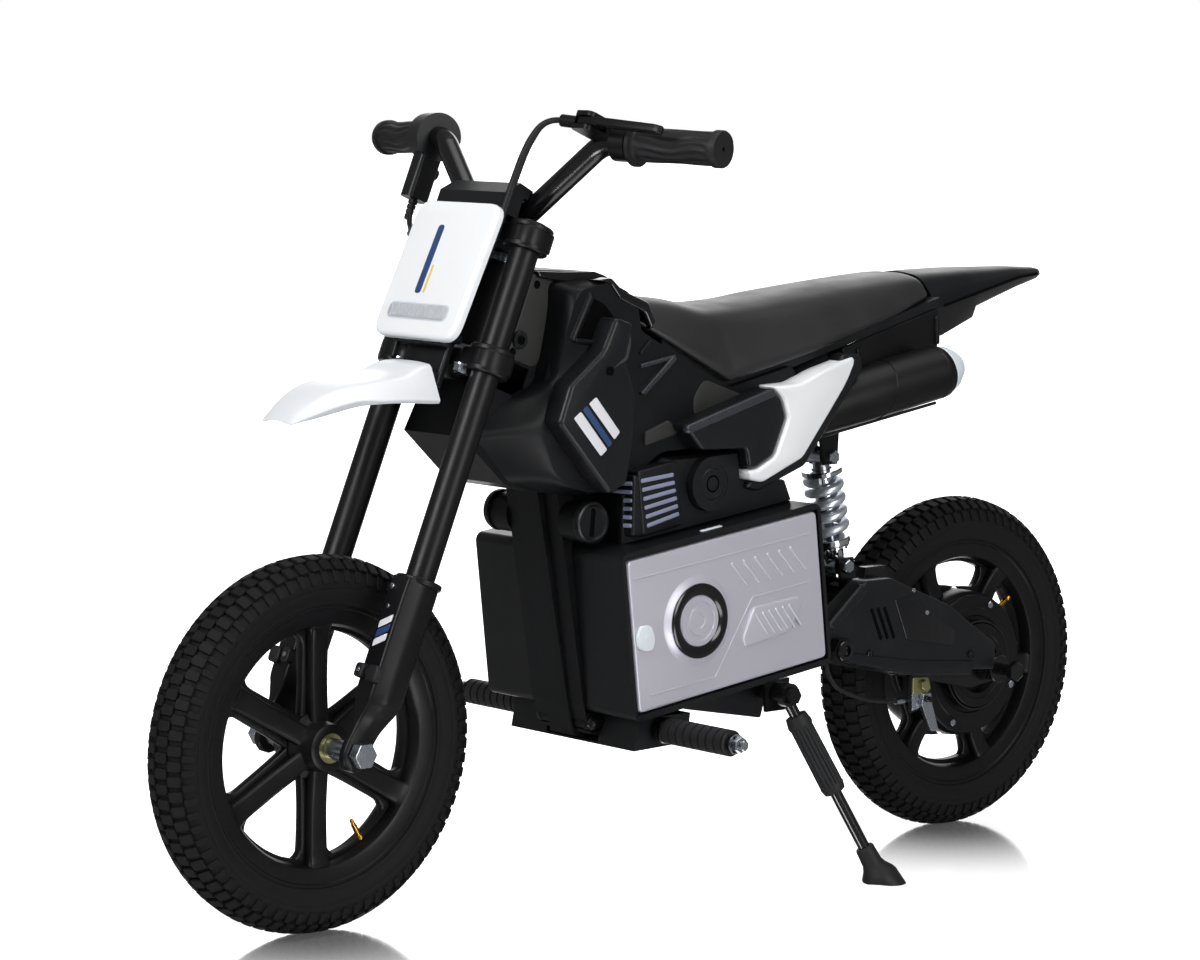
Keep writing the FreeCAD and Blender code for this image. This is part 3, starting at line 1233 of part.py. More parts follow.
def biarc(first, first_way, last, last_way):
    """Two arcs that leave first and reach last along the given directions."""
    chord = last - first
    ways = first_way + last_way
    a = 2 * (1 - first_way.dot(last_way))
    b = 2 * chord.dot(ways)
    reach = (-b + math.sqrt(b * b + 4 * a * chord.dot(chord))) / (2 * a)
    near = first + first_way * reach
    far = last - last_way * reach
    join = (near + far) / 2
    arcs = []
    for start, corner, end in ((first, near, join), (join, far, last)):
        chord_mid = (start + end) / 2
        inward = chord_mid - corner
        half_angle = math.atan2((end - start).Length / 2, inward.Length)
        bulge = reach / math.cos(half_angle) - reach * math.tan(half_angle)
        middle = corner + inward.normalize() * bulge
        arcs.append(Part.Arc(start, middle, end).toShape())
    return arcs


spring_start = COIL_LOW + D.wire_radius + D.seat_gap
spring_pitch = (COIL_HIGH - COIL_LOW - 2 * (D.wire_radius + D.seat_gap)) / D.spring_turns
coil_edges = []
QUARTERS = int(round(4 * D.spring_turns))
for count in range(QUARTERS):
    here = helix_point(count / 4, spring_pitch, spring_start)
    there = helix_point((count + 1) / 4, spring_pitch, spring_start)
    coil_edges += biarc(*here, *there)
spring = swept(Part.Wire(coil_edges), D.wire_radius)
print("spring gap between turns", round(spring_pitch - 2 * D.wire_radius, 2))
keep("shock_spring", spring, SHOCK)

# Band brake on the left of the rear hub
band_low = COVER_FACE + 2
band_high = DRUM_FACE - 2
band_in = D.drum_radius + D.band_gap
band = ring(at(REAR, band_low), at(REAR, band_high), band_in + D.band_thick, band_in)
BAND_ARM = up(-322, -22)
anchor = slab([(-391, 14), (-376, 20), (-360, 8), (-374, -6), (-391, 2)], band_high - 4, beam_in)
anchor = anchor.cut(rod(at(REAR, 0), at(REAR, 90), band_in + D.band_thick / 2))
bracket_lug = slab([(-333, 2), (-304, 6), (-304, -36), (-333, -30)], beam_out + 0.2, beam_out + 5)
ARM_PIN = 3.0
pin_in = Vector(BAND_ARM.x, beam_out + 5, BAND_ARM.z)
bracket_lug = bracket_lug.fuse(rod(pin_in, pin_in + Vector(0, 12, 0), ARM_PIN))
keep("brake_band", pieces([band.fuse(anchor).removeSplitter(), bracket_lug.removeSplitter()]))
arm_low = beam_out + 5.4
arm_outline = [(-328, -16), (-316, -16), (-314, -28), (-330, -58), (-340, -56), (-330, -28)]
brake_arm = slab(arm_outline, arm_low, arm_low + 5)
pin_bore = rod(pin_in, pin_in + Vector(0, 30, 0), ARM_PIN + D.running_gap)
keep("brake_arm", brake_arm.cut(pin_bore))

lower_points = [
    up(PIVOT.x + 1.5, 31.6, 73), up(PIVOT.x - 2.5, 8, 73), up(-215, -10, 73), up(-262, -21, 71),
    up(-303.5, -22, 68),
]
lower_radii = largest_radii(lower_points)
lower_path = route(lower_points, lower_radii)
LOWER_RADIUS = 2.2
lower_cable = swept(lower_path, LOWER_RADIUS)
share = lower_cable.Volume / (math.pi * LOWER_RADIUS ** 2 * lower_path.Length)
print("lower_cable length", round(lower_path.Length, 1), "radii", [round(r, 1) for r in lower_radii],
      "volume", round(share, 4))
keep("lower_cable", lower_cable)

# Footpegs and stand
PEG_ROOT = 98.0
peg = rod(PEG + Vector(0, PEG_ROOT, 0), PEG + Vector(0, D.peg_half - 7, 0), D.peg_radius)
peg = peg.fuse(rod(PEG + Vector(0, PEG_ROOT, 0), PEG + Vector(0, PEG_ROOT + 8, 0), D.sleeve_radius))
peg = peg.fuse(hex_bar(PEG, D.peg_half - 7, D.peg_half, 16))
keep("footpegs", both(peg.removeSplitter()))
sleeve_start = PEG + Vector(0, PEG_ROOT + 8.3, 0)
sleeve_end = PEG + Vector(0, D.peg_half - 7.5, 0)
SLEEVE_RIBS = 8
sleeve_long = (sleeve_end - sleeve_start).Length
sleeve_profile = ribbed_sleeve(sleeve_long, D.peg_radius + D.running_gap, D.sleeve_radius, SLEEVE_RIBS, 1.8)
keep("peg_sleeves", both(turned(sleeve_profile, sleeve_start, sleeve_end)))

stand_pivot = STAND + Vector(0, D.stand_out, 0)
STAND_PLATE = 4.0
plate_in = D.stand_out - 14
stand_plate = slab([(-92, 26), (-58, 22), (-60, -6), (-88, -6)], plate_in, plate_in + STAND_PLATE)
stand_pin = rod(Vector(stand_pivot.x, plate_in, stand_pivot.z), stand_pivot + Vector(0, 10, 0), 5.0)
stand_plate = stand_plate.fuse(stand_pin)
stand_plate = stand_plate.fuse(hex_bar(stand_pivot, D.stand_out + 10, D.stand_out + 16, 15))
keep("main_frame", fused([frame, pivot_bolt, stand_plate]))
FOOT = Vector(-155, 176, 0)
leg_line = (FOOT - stand_pivot).normalize()
leg_long = (FOOT - stand_pivot).Length
FOOT_TALL = 15.0
leg_end = stand_pivot + leg_line * (leg_long - FOOT_TALL)
stand_eye = rod(stand_pivot - Vector(0, 9.5, 0), stand_pivot + Vector(0, 9.5, 0), 12.0)
stand_leg = stand_eye.fuse(rod(stand_pivot, leg_end, 6.0))
stand_bore = rod(stand_pivot - Vector(0, 30, 0), stand_pivot + Vector(0, 30, 0), 5 + D.running_gap)
stand_leg = stand_leg.cut(stand_bore)
keep("kickstand_leg", stand_leg.removeSplitter())
SLEEVE_FROM = 24.0
SLEEVE_TO = 112.0
stand_sleeve = turned(ribbed_sleeve(SLEEVE_TO - SLEEVE_FROM, 6.05, 12.0, 8, 1.6),
                      stand_pivot + leg_line * SLEEVE_FROM, stand_pivot + leg_line * SLEEVE_TO)
foot_profile = [(-26, 6.05), (-26, 9), (-6, 10), (8, 19), (40, 19), (40, 0), (0.05, 0), (0.05, 6.05)]
foot = turned(foot_profile, leg_end, leg_end + leg_line)
ground = block(Vector(-300, 0, -100), Vector(0, 400, 0))
keep("stand_rubbers", pieces([stand_sleeve, foot.cut(ground)]))

doc.recompute()
for thing in doc.Objects:
    assert not {"Invalid", "Error"} & set(thing.State), thing.Label
os.makedirs("parts", exist_ok=True)
for label, thing in parts.items():
    shape = thing.Shape
    assert not shape.isNull() and shape.isValid(), label
for label, thing in parts.items():
    thing.Shape.exportStep(f"parts/{label}.step")
print(len(parts), "sub-parts")
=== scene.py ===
# %% [markdown]
# # A kids electric motorbike, dressed around its CAD frame
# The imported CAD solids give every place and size.  This lesson loads them, gives each one the finish of the
# real material, and adds the moulded and wound pieces whose looks need more than a plain solid.

# %% Load the frame
import math

import bmesh
import bpy
import numpy as np
from mathutils import Matrix, Vector


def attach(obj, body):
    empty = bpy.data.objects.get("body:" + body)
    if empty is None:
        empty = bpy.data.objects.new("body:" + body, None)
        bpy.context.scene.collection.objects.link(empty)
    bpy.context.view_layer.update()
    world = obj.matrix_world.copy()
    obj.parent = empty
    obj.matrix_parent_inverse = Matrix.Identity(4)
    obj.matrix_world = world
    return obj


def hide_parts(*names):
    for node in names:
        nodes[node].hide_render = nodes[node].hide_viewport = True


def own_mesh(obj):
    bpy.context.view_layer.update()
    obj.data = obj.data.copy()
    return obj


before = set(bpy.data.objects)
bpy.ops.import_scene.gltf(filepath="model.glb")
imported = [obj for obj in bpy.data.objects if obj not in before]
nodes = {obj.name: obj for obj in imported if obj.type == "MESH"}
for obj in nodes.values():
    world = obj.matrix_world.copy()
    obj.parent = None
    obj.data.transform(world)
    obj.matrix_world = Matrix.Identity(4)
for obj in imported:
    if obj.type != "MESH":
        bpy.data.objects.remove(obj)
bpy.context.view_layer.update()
print("CAD nodes:", len(nodes))

# %% [markdown]
# ## Places
# The bike has three natural frames: the ground frame of the whole machine, the leaning fork, and the
# battery box, which is tilted nose-down.  Every piece is written in millimetres in the frame of what
# carries it and is then carried into metres.

# %% The frames
MM = 0.001
AXLE = 178.0
REACH = 430.0
RAKE = math.radians(22.2)
TILT = math.radians(7.3)
# The front axle stands this far ahead of the tubes
AXLE_LEAD = 10.6
FORK_X = REACH - AXLE_LEAD * math.cos(RAKE)
FORK_Z = AXLE - AXLE_LEAD * math.sin(RAKE)
BOX_Z = 280.0
LEFT = (0, 1, 0)


def bike(points):
    """Ground frame with heights counted from the axle line: x ahead, y left, z + axle height."""
    return (np.asarray(points, float) + (0, 0, AXLE)) * MM


def fork(points):
    """Fork frame: ahead of the tubes, left, along them from the axle; turned by the rake, then shifted."""
    p = np.asarray(points, float)
    x = FORK_X + p[..., 0] * math.cos(RAKE) - p[..., 2] * math.sin(RAKE)
    z = FORK_Z + p[..., 0] * math.sin(RAKE) + p[..., 2] * math.cos(RAKE)
    return np.stack([x, p[..., 1], z], -1) * MM


def boxed(points):
    """Battery box frame: along, left, above its middle; a turn by the tilt, then a lift."""
    p = np.asarray(points, float)
    x = p[..., 0] * math.cos(TILT) + p[..., 2] * math.sin(TILT)
    z = BOX_Z - p[..., 0] * math.sin(TILT) + p[..., 2] * math.cos(TILT)
    return np.stack([x, p[..., 1], z], -1) * MM


print("fork foot (mm):", round(FORK_X, 1), round(FORK_Z, 1))

# %% [markdown]
# ## Camera and studio
# A long lens from the front left, as in the photograph, over a white floor.  Black plastic shows its
# shape only by what it mirrors, so soft panels stand left, in front, behind and above.


# %% Camera and lights
def studio_camera():
    """A camera from its place, heading, downward pitch and roll; the focal length is in picture pixels."""
    place = (2.5683, 2.7966, 0.8031)
    heading, pitch, roll = -2.2989, 0.1062, -0.0142
    focal, picture_width = 3821.9, 1200
    flat = math.cos(pitch)
    ahead = Vector((flat * math.cos(heading), flat * math.sin(heading), -math.sin(pitch)))
    right = ahead.cross(Vector((0, 0, 1))).normalized()
    down = ahead.cross(right)
    side = math.cos(roll) * right + math.sin(roll) * down
    lower = -math.sin(roll) * right + math.cos(roll) * down
    data = bpy.data.cameras.new("studio_camera")
    data.sensor_width = 36.0
    data.lens = focal / picture_width * data.sensor_width
    data.clip_end = 100
    camera = bpy.data.objects.new("studio_camera", data)
    turn = Matrix((side, -lower, -ahead)).transposed()
    camera.matrix_world = Matrix.Translation(place) @ turn.to_4x4()
    bpy.context.scene.collection.objects.link(camera)
    bpy.context.scene.camera = camera


def softbox(name, place, aim, size, power):
    """A rectangular area light that looks at a point."""
    data = bpy.data.lights.new(name, "AREA")
    data.shape = "RECTANGLE"
    data.size, data.size_y = size
    data.energy = power
    lamp = bpy.data.objects.new(name, data)
    lamp.location = place
    lamp.rotation_euler = (Vector(aim) - Vector(place)).to_track_quat("-Z", "Y").to_euler()
    bpy.context.scene.collection.objects.link(lamp)


studio_camera()
softbox("top_panel", (0.1, 0.5, 2.5), (0, 0, 0.3), (2.2, 1.6), 28)
softbox("left_panel", (0.1, 3.3, 1.4), (-0.1, 0, 0.4), (1.2, 1.8), 52)
softbox("front_panel", (2.8, 0.3, 1.9), (0.3, 0, 0.45), (1.0, 1.0), 56)
softbox("back_panel", (-2.4, -2.2, 1.7), (0, 0, 0.4), (2.2, 1.6), 18)

world = bpy.data.worlds.new("studio_world")
world.use_nodes = True
backdrop = world.node_tree.nodes["Background"]
backdrop.inputs["Color"].default_value = (1, 1, 1, 1)
bpy.context.scene.world = world
bpy.context.scene.view_settings.view_transform = "Standard"

# %% [markdown]
# ## Finishes
# Each finish is named for the real material, or for the painted light or shade that its colour carries.
# Colours are written as sRGB hex values and turned to linear once. Grain, flake and ripple are procedural,
# with scales worked out from their size in millimetres.


# %% Material helpers
def linear(text):
    """sRGB hex to linear RGBA: c / 12.92 below 0.04045, else ((c + 0.055) / 1.055) ^ 2.4."""
    srgb = np.array([int(text[i:i + 2], 16) for i in (1, 3, 5)]) / 255
    value = np.where(srgb <= 0.04045, srgb / 12.92, ((srgb + 0.055) / 1.055) ** 2.4)
    return (*value.tolist(), 1.0)


def add(tree, kind, links=None, **settings):
    """Adds one node: settings are its properties, links maps its inputs to constants or to other sockets."""
    node = tree.nodes.new(kind)
    for key, value in settings.items():
        setattr(node, key, value)
    for key, value in (links or {}).items():
        if isinstance(value, bpy.types.NodeSocket):
            tree.links.new(value, node.inputs[key])
        else:
            node.inputs[key].default_value = value
    return node


def finish(name, colour, rough, metal=0.0, grain=2.0, bump=0.05, vary=0.12, second=None, **sockets):
    """A surface: colour drifts to a second one, roughness drifts by vary, a grain in mm gives the bump."""
    material = bpy.data.materials.new(name)
    material.use_nodes = True
    tree = material.node_tree
    shader = tree.nodes["Principled BSDF"]
    shader.inputs["Metallic"].default_value = metal
    for key, value in sockets.items():
        shader.inputs[key.replace("_", " ")].default_value = value
    place = add(tree, "ShaderNodeTexCoord").outputs["Object"]
    drift = add(tree, "ShaderNodeTexNoise", {"Vector": place, "Scale": 1 / (45 * MM), "Detail": 4.0})
    fine = add(tree, "ShaderNodeTexNoise", {"Vector": place, "Scale": 1 / (grain * MM), "Detail": 3.0})
    blend = add(tree, "ShaderNodeMix", {0: drift.outputs[0], 6: linear(colour), 7: linear(second or colour)},
                data_type="RGBA")
    tree.links.new(blend.outputs[2], shader.inputs["Base Color"])
    spread = add(tree, "ShaderNodeMapRange", {0: drift.outputs[0], 1: 0.3, 2: 0.7, 3: rough * (1 - vary),
                                              4: rough * (1 + vary)})
    tree.links.new(spread.outputs[0], shader.inputs["Roughness"])
    dent = add(tree, "ShaderNodeBump", {"Height": fine.outputs[0], "Strength": bump, "Distance": 0.3 * MM})
    tree.links.new(dent.outputs[0], shader.inputs["Normal"])
    return material


# %% The finishes
# Moulded ABS: spark-eroded grain, satin black; the true 0.3 mm grain is drawn at 1.4 mm so that it shows
abs_black = finish("moulded_black_abs", "#0f1012", 0.36, grain=1.4, bump=0.12, second="#131416",
                   Specular_IOR_Level=0.3)
# The body's ABS has a flatter sheen
abs_body = finish("matt_black_abs", "#0d0e10", 0.42, grain=1.4, bump=0.12, second="#111214",
                  Specular_IOR_Level=0.18)
# Grey-black ABS of the head panels, a flatter grain
abs_grey = finish("moulded_grey_abs", "#282827", 0.5, grain=1.4, bump=0.12, second="#2c2c2b",
                  Specular_IOR_Level=0.3)
# Facets of the body's gloss mouldings that catch the light: coloured a shade greyer, a painted highlight
abs_painted_highlight = finish("painted_highlight_grey_abs", "#2b2c31", 0.28, grain=6, bump=0.02, second="#303136")
# Gloss ABS: polished mould, sharp highlights
abs_gloss = finish("polished_black_abs", "#0b0b0d", 0.16, grain=8, bump=0.02, second="#0e0e11")
# White gloss ABS
abs_white = finish("polished_white_abs", "#e6e8ea", 0.24, grain=10, bump=0.015, second="#e5e7e9")
# The fender is the plate's white plastic with less polish; its colour is darkened as painted shade so that
# its lit faces don't burn out
fender_painted_shade = finish("white_abs_painted_shade", "#d5d7da", 0.34, grain=6, bump=0.02, second="#d4d6d9")
# Powder-coated steel tube: slight orange peel
powder = finish("powder_coated_steel", "#090a0b", 0.2, grain=2.2, bump=0.06, second="#0d0d0f")
# Painted cast alloy of rims and clamps
alloy = finish("black_painted_alloy", "#0a0a0c", 0.4, grain=1.8, bump=0.1, second="#0d0d0f",
               Specular_IOR_Level=0.22)
# Tyre rubber: dull, with a bloom that greys it in patches
tyre_rubber = finish("tyre_rubber", "#121213", 0.62, grain=2.5, bump=0.18, second="#171718", vary=0.08,
                     Specular_IOR_Level=0.12)
# Soft rubber of grips, pegs and sleeves
soft_rubber = finish("soft_black_rubber", "#121214", 0.55, grain=1.6, bump=0.14, second="#161618",
                     Specular_IOR_Level=0.3)
# Zinc plating: bright, a little blue, cloudy
zinc = finish("zinc_plated_steel", "#c3c7cc", 0.27, metal=1.0, grain=3, bump=0.05, second="#a4abb5",
              vary=0.3)
# The spring's zinc, coloured brighter than the other plating as painted light, drawn smooth and a little
# milky
spring_painted_light = finish("zinc_coil_painted_light", "#e2e6ee", 0.36, metal=0.85, grain=2, bump=0.03,
                     second="#ced4de", vary=0.2)
# Yellow passivated zinc of the brake bracket
yellow_zinc = finish("yellow_zinc_steel", "#b5ad5c", 0.3, metal=1.0, grain=3, bump=0.05, second="#a7a88a")
# Chromed damper rod and collars
chrome = finish("chrome_plate", "#d8dadd", 0.09, metal=1.0, grain=6, bump=0.02, second="#cfd2d6", vary=0.3)
# Turned brass of the tyre valve and hub bush
brass = finish("turned_brass", "#b98d3a", 0.25, metal=1.0, grain=3, bump=0.05, second="#a37a2c", vary=0.3)
# Silver paint: fine flake under a satin lacquer
silver = finish("silver_satin_paint", "#bfbdc8", 0.36, metal=0.35, grain=0.9, bump=0.05, second="#bdbcc5")
# Vinyl seat cover: matt, leather-like grain of about 1.5 mm
vinyl = finish("grained_black_vinyl", "#161618", 0.46, grain=1.5, bump=0.3, second="#1a1a1c",
               Specular_IOR_Level=0.55)
# Lavender grey slats behind the grille
slat_grey = finish("lavender_grey_abs", "#868aa3", 0.4, grain=2, bump=0.05, second="#7c8098")
# Pale translucent latch cap
pale_abs = finish("pale_grey_abs", "#d6dde2", 0.35, grain=2, bump=0.04, second="#ccd4da")
# Painted shade: a near-black finish for the unlit depth of vents, grooves, pockets and screw holes
dark_hole = finish("shadowed_recess", "#040405", 0.8, grain=2, bump=0.02, Specular_IOR_Level=0.05)
# Clear acrylic lamp lens
lens_clear = finish("clear_acrylic", "#eef2f6", 0.08, grain=5, bump=0.02, Transmission_Weight=0.6, IOR=1.49)
# Shrink-wrapped battery pack
wrap_blue = finish("blue_battery_wrap", "#26406e", 0.35, grain=4, bump=0.06, second="#20365d")
# Printed vinyl film of the plain trim stripes
film_blue = finish("printed_blue_film", "#2c4672", 0.3, grain=6, bump=0.02, second="#28406a")
film_yellow = finish("printed_yellow_film", "#e6c25a", 0.3, grain=6, bump=0.02, second="#dfba50")
film_grey = finish("printed_pale_film", "#dcdce0", 0.3, grain=6, bump=0.02, second="#d6d6db")
# Silvered reflector seen through the lamp lens
reflector = finish("silvered_reflector", "#c9ced6", 0.35, grain=4, bump=0.05, second="#b9bfc8")
# Glossy white acrylic sheet under the bike
floor_white = finish("studio_floor", "#f7f7f8", 0.1, metal=0.9, grain=60, bump=0.0, vary=0.05,
                     Emission_Color=(1, 1, 1, 1))

NODE_FINISH = {
    tyre_rubber: ["front_tyre", "rear_tyre"],
    alloy: ["front_rim", "rear_rim", "motor_covers", "main_frame", "fork_tubes", "fork_legs", "lower_clamp",
            "upper_clamp", "brake_perch", "brake_lever", "controller"],
    yellow_zinc: ["front_bearings"],
    zinc: ["rear_bearings", "motor_stator", "front_axle", "steering_stem", "head_bearings",
           "shock_body", "shock_rod", "shock_spring", "brake_arm"],
    powder: ["handlebar", "swing_arm", "footpegs", "kickstand_leg", "rear_axle", "brake_band"],
    soft_rubber: ["left_grip", "throttle_grip", "brake_cable", "throttle_lead", "lower_cable", "peg_sleeves",
                  "stand_rubbers"],
    abs_body: ["body_shell_left", "body_shell_right"],
    abs_black: ["throttle_housing", "plate_bracket", "dash_cover", "engine_covers", "battery_box",
                "seat_base", "silencers", "swing_covers"],
    abs_gloss: ["mode_button", "power_button", "shrouds", "side_covers", "tail_cover"],
    abs_white: ["number_plate", "front_fender", "side_panels"],
    silver: ["battery_door", "right_panel"],
    pale_abs: ["door_latch"],
    vinyl: ["seat_cushion"],
    lens_clear: ["headlight_lens"],
    wrap_blue: ["battery_pack"],
}
# The slot of each finish, which a piece looks up where it doesn't name another; the piece doesn't keep it
SLOTS = {
    "tyre_rubber": [tyre_rubber],
    "rubber": [soft_rubber],
    "black_alloy": [alloy],
    "black_plastic": [abs_black, abs_body, abs_grey, slat_grey, dark_hole],
    "gloss_black": [abs_gloss, abs_painted_highlight, film_grey, film_blue],
    "white_plastic": [abs_white, fender_painted_shade, film_yellow, reflector],
    "silver_plastic": [silver, pale_abs],
    "seat_vinyl": [vinyl],
    "clear_lens": [lens_clear],
    "zinc": [zinc, spring_painted_light, yellow_zinc, chrome, brass],
}
SLOT_OF = {material: slot for slot, group in SLOTS.items() for material in group}
for material, names in NODE_FINISH.items():
    for name in names:
        nodes[name].data.materials.clear()
        nodes[name].data.materials.append(material)
print("finishes:", len(bpy.data.materials))

# %% Backdrop
tree = world.node_tree
seen = add(tree, "ShaderNodeLightPath").outputs["Is Camera Ray"]
# The picture's ground is pure white; the bike is lit by a dimmer room with one white wall behind it
WALL_WAY = (-0.66, -0.74, 0.1)
way = add(tree, "ShaderNodeTexCoord").outputs["Generated"]
facing = add(tree, "ShaderNodeVectorMath", {0: way, 1: WALL_WAY}, operation="DOT_PRODUCT").outputs["Value"]
wall = add(tree, "ShaderNodeMapRange", {0: facing, 1: 0.82, 2: 0.94, 3: 0.2, 4: 1.0},
           interpolation_type="SMOOTHSTEP")
glow = add(tree, "ShaderNodeMath", {0: wall.outputs[0], 1: seen}, operation="MAXIMUM")
tree.links.new(glow.outputs[0], backdrop.inputs["Strength"])
# The overexposed sheet of a studio table: it mirrors close to each tyre's foot and burns out around it
tree = floor_white.node_tree
place = add(tree, "ShaderNodeTexCoord").outputs["Object"]
half = add(tree, "ShaderNodeVectorMath", {0: place}, operation="ABSOLUTE").outputs["Vector"]
far = add(tree, "ShaderNodeVectorMath", {0: half, 1: (REACH * MM, 0, 0)},
          operation="DISTANCE").outputs["Value"]
ramp = add(tree, "ShaderNodeMapRange", {0: far, 1: 0.03, 2: 0.32, 3: 0.06, 4: 1.0},
           interpolation_type="SMOOTHSTEP")
seen = add(tree, "ShaderNodeLightPath").outputs["Is Camera Ray"]
shown = add(tree, "ShaderNodeMath", {0: ramp.outputs[0], 1: seen}, operation="MULTIPLY")
tree.links.new(shown.outputs[0], tree.nodes["Principled BSDF"].inputs["Emission Strength"])

floor_mesh = bpy.data.meshes.new("studio_floor")
half = 30.0
floor_mesh.from_pydata([(-half, -half, 0), (half, -half, 0), (half, half, 0), (-half, half, 0)], [],
                       [(0, 1, 2, 3)])
floor_mesh.materials.append(floor_white)
floor = bpy.data.objects.new("studio_floor", floor_mesh)
bpy.context.scene.collection.objects.link(floor)

# %% [markdown]
# ## Cables
# The three cables are NURBS curves through the control points of the CAD routes: the brake cable and the
# throttle lead ride on the steering, the lower brake cable on the swing arm.


# %% Cables
def cable(name, points, radius, body, node, sheath=1.0):
    """A round cable: a NURBS spline of order 3 from its first point to its last, thicker past its start."""
    data = bpy.data.curves.new(name, "CURVE")
    data.dimensions = "3D"
    data.bevel_depth = radius * MM
    data.bevel_resolution = 6
    data.use_fill_caps = True
    data.resolution_u = 24
    spline = data.splines.new("NURBS")
    spline.points.add(len(points) - 1)
    spline.points.foreach_set("co", np.c_[points, np.ones(len(points))].ravel())
    spline.points.foreach_set("radius", np.interp(np.arange(len(points)), [0, 1, 2], [1, 1, sheath]))
    spline.order_u = 3
    spline.use_endpoint_u = True
    data.materials.append(soft_rubber)
    curve = bpy.data.objects.new(name, data)
    bpy.context.scene.collection.objects.link(curve)
    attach(curve, body)
    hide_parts(node)


CLAMP_TOP = 520.0
DASH_HALF = 48.0
BARREL = np.array((23.6, 112.0, 619.6))
BARREL_WAY = np.array((4.0, -18.0, 0.0)) / math.hypot(4, 18)
cable_turn = BARREL + BARREL_WAY * 39
brake_route = [BARREL + BARREL_WAY * 19.2, cable_turn, (36, (cable_turn[1] + 56) / 2, CLAMP_TOP + 72),
               (31, 56, CLAMP_TOP + 40), (27, DASH_HALF + 2.5, CLAMP_TOP + 7),
               (26, DASH_HALF, CLAMP_TOP - 24), (26, DASH_HALF - 4, CLAMP_TOP - 50),
               (27, DASH_HALF - 12, CLAMP_TOP - 70)]
cable("brake_cable_hose", fork(brake_route), 2.8, "steering", "brake_cable", 1.4)
DROP = np.array((-13.79, -141.02, 614.15))
lead_route = [DROP - (0, 0, 66.2), DROP - (0, 0, 84), (-6, DROP[1] + 23, CLAMP_TOP - 8),
              (14, -DASH_HALF - 47, CLAMP_TOP - 16), (25, -DASH_HALF - 26, CLAMP_TOP - 24),
              (27, -DASH_HALF - 8, CLAMP_TOP - 38), (27, -DASH_HALF + 4, CLAMP_TOP - 58)]
cable("throttle_lead_hose", fork(lead_route), 2.8, "steering", "throttle_lead")
lower_route = [(-172, 73, 31.6), (-176, 73, 8), (-215, 73, -10), (-262, 71, -21), (-303.5, 68, -22)]
cable("lower_brake_cable", bike(lower_route), 2.2, "swing", "lower_cable")

# %% [markdown]
# ## Shape tools
# All the moulded pieces are grids of points: rings that follow a path, a profile turned round an axis, or
# an outline raised through a few levels.  The work is done on whole arrays, and one function turns the
# arrays into an object that rides on its body.


# %% Shape tools
def quads(rows, cols, wrap):
    """Faces of a grid of rows x cols points: each joins a point with its next in row and column."""
    first = np.arange(rows - 1)[:, None] * cols
    here = np.arange(cols if wrap else cols - 1)[None, :]
    there = (here + 1) % cols
    return np.stack([first + here, first + there, first + cols + there, first + cols + here],
                    -1).reshape(-1, 4)


def skin(rings, closed=False):
    """Rings (K, N, 3) joined in turn: both ends are capped, or closed joins the last ring to the first."""
    rings = np.asarray(rings, float)
    count, around = rings.shape[:2]
    if closed:
        rings = np.concatenate([rings, rings[:1]])
    faces = quads(len(rings), around, True)
    if closed:
        faces = faces % (count * around)
        rings = rings[:-1]
    faces = faces.tolist()
    if not closed:
        faces.append(list(range(around))[::-1])
        faces.append(list(range((count - 1) * around, count * around)))
    return rings.reshape(-1, 3), faces


def basis(axis):
    """Two unit vectors square to an axis and to each other."""
    axis = np.asarray(axis, float)
    axis = axis / np.linalg.norm(axis)
    helper = np.eye(3)[np.argmin(np.abs(axis))]
    first = np.cross(axis, helper)
    first = first / np.linalg.norm(first)
    return axis, first, np.cross(axis, first)


def circle(count):
    """The angles of so many points round a circle."""
    return np.linspace(0, 2 * np.pi, count, endpoint=False)


def spokes(turn, first, second):
    """Directions at the angles t: cos t e1 + sin t e2."""
    return np.cos(turn)[..., None] * first + np.sin(turn)[..., None] * second


def swapped(place, *order):
    """A frame whose coordinates are taken in another order, for faces that look another way."""
    return lambda points: place(np.asarray(points, float)[..., list(order)])


def stand_at(x, flat):
    """A flat ring (y, z) stood up at one place along the bike."""
    return np.c_[np.full(len(flat), x), flat]


def lathe(profile, centre, axis=LEFT, place=bike, sides=64, closed=False):
    """Turns (along, radius) points round an axis: centre + along a + radius (cos t e1 + sin t e2)."""
    axis, first, second = basis(axis)
    profile = np.asarray(profile, float)
    rays = spokes(circle(sides), first, second)
    rings = np.asarray(centre, float) + profile[:, :1, None] * axis + profile[:, 1:, None] * rays
    return skin(place(rings), closed)


def tube(path, radius, place=bike, sides=16, ref=(0, 0, 1)):
    """A round bar along a path; each ring stands square to the path's direction there."""
    path = np.asarray(path, float)
    way = np.gradient(path, axis=0)
    way = way / np.linalg.norm(way, axis=1, keepdims=True)
    first = np.cross(way, np.asarray(ref, float))
    first = first / np.linalg.norm(first, axis=1, keepdims=True)
    second = np.cross(way, first)
    turn = circle(sides)[None, :, None]
    size = np.broadcast_to(np.asarray(radius, float), (len(path),))[:, None, None]
    return skin(place(path[:, None] + size * (np.cos(turn) * first[:, None] + np.sin(turn) * second[:,
                                                                                                    None])))


def turns(corners):
    """Inward normals of the sides before and after each corner, and the turn there (+1 out, -1 in)."""
    side = np.roll(corners, -1, 0) - corners
    side = side / np.linalg.norm(side, axis=1, keepdims=True)
    area = np.sum(corners[:, 0] * np.roll(corners[:, 1], -1) - corners[:, 1] * np.roll(corners[:, 0], -1))
    after = np.stack([-side[:, 1], side[:, 0]], -1) * np.sign(area)
    before = np.roll(after, 1, 0)
    bend = (before[:, 0] * after[:, 1] - before[:, 1] * after[:, 0]) * np.sign(area)
    return before, after, np.where(bend >= 0, 1.0, -1.0)


def inset(corners, distance):
    """Corners moved inwards from both their sides: p + (n1 + n2) d / (1 + n1 . n2)."""
    corners = np.asarray(corners, float)
    before, after, _ = turns(corners)
    return corners + (before + after) * distance / (1 + np.sum(before * after, 1, keepdims=True))


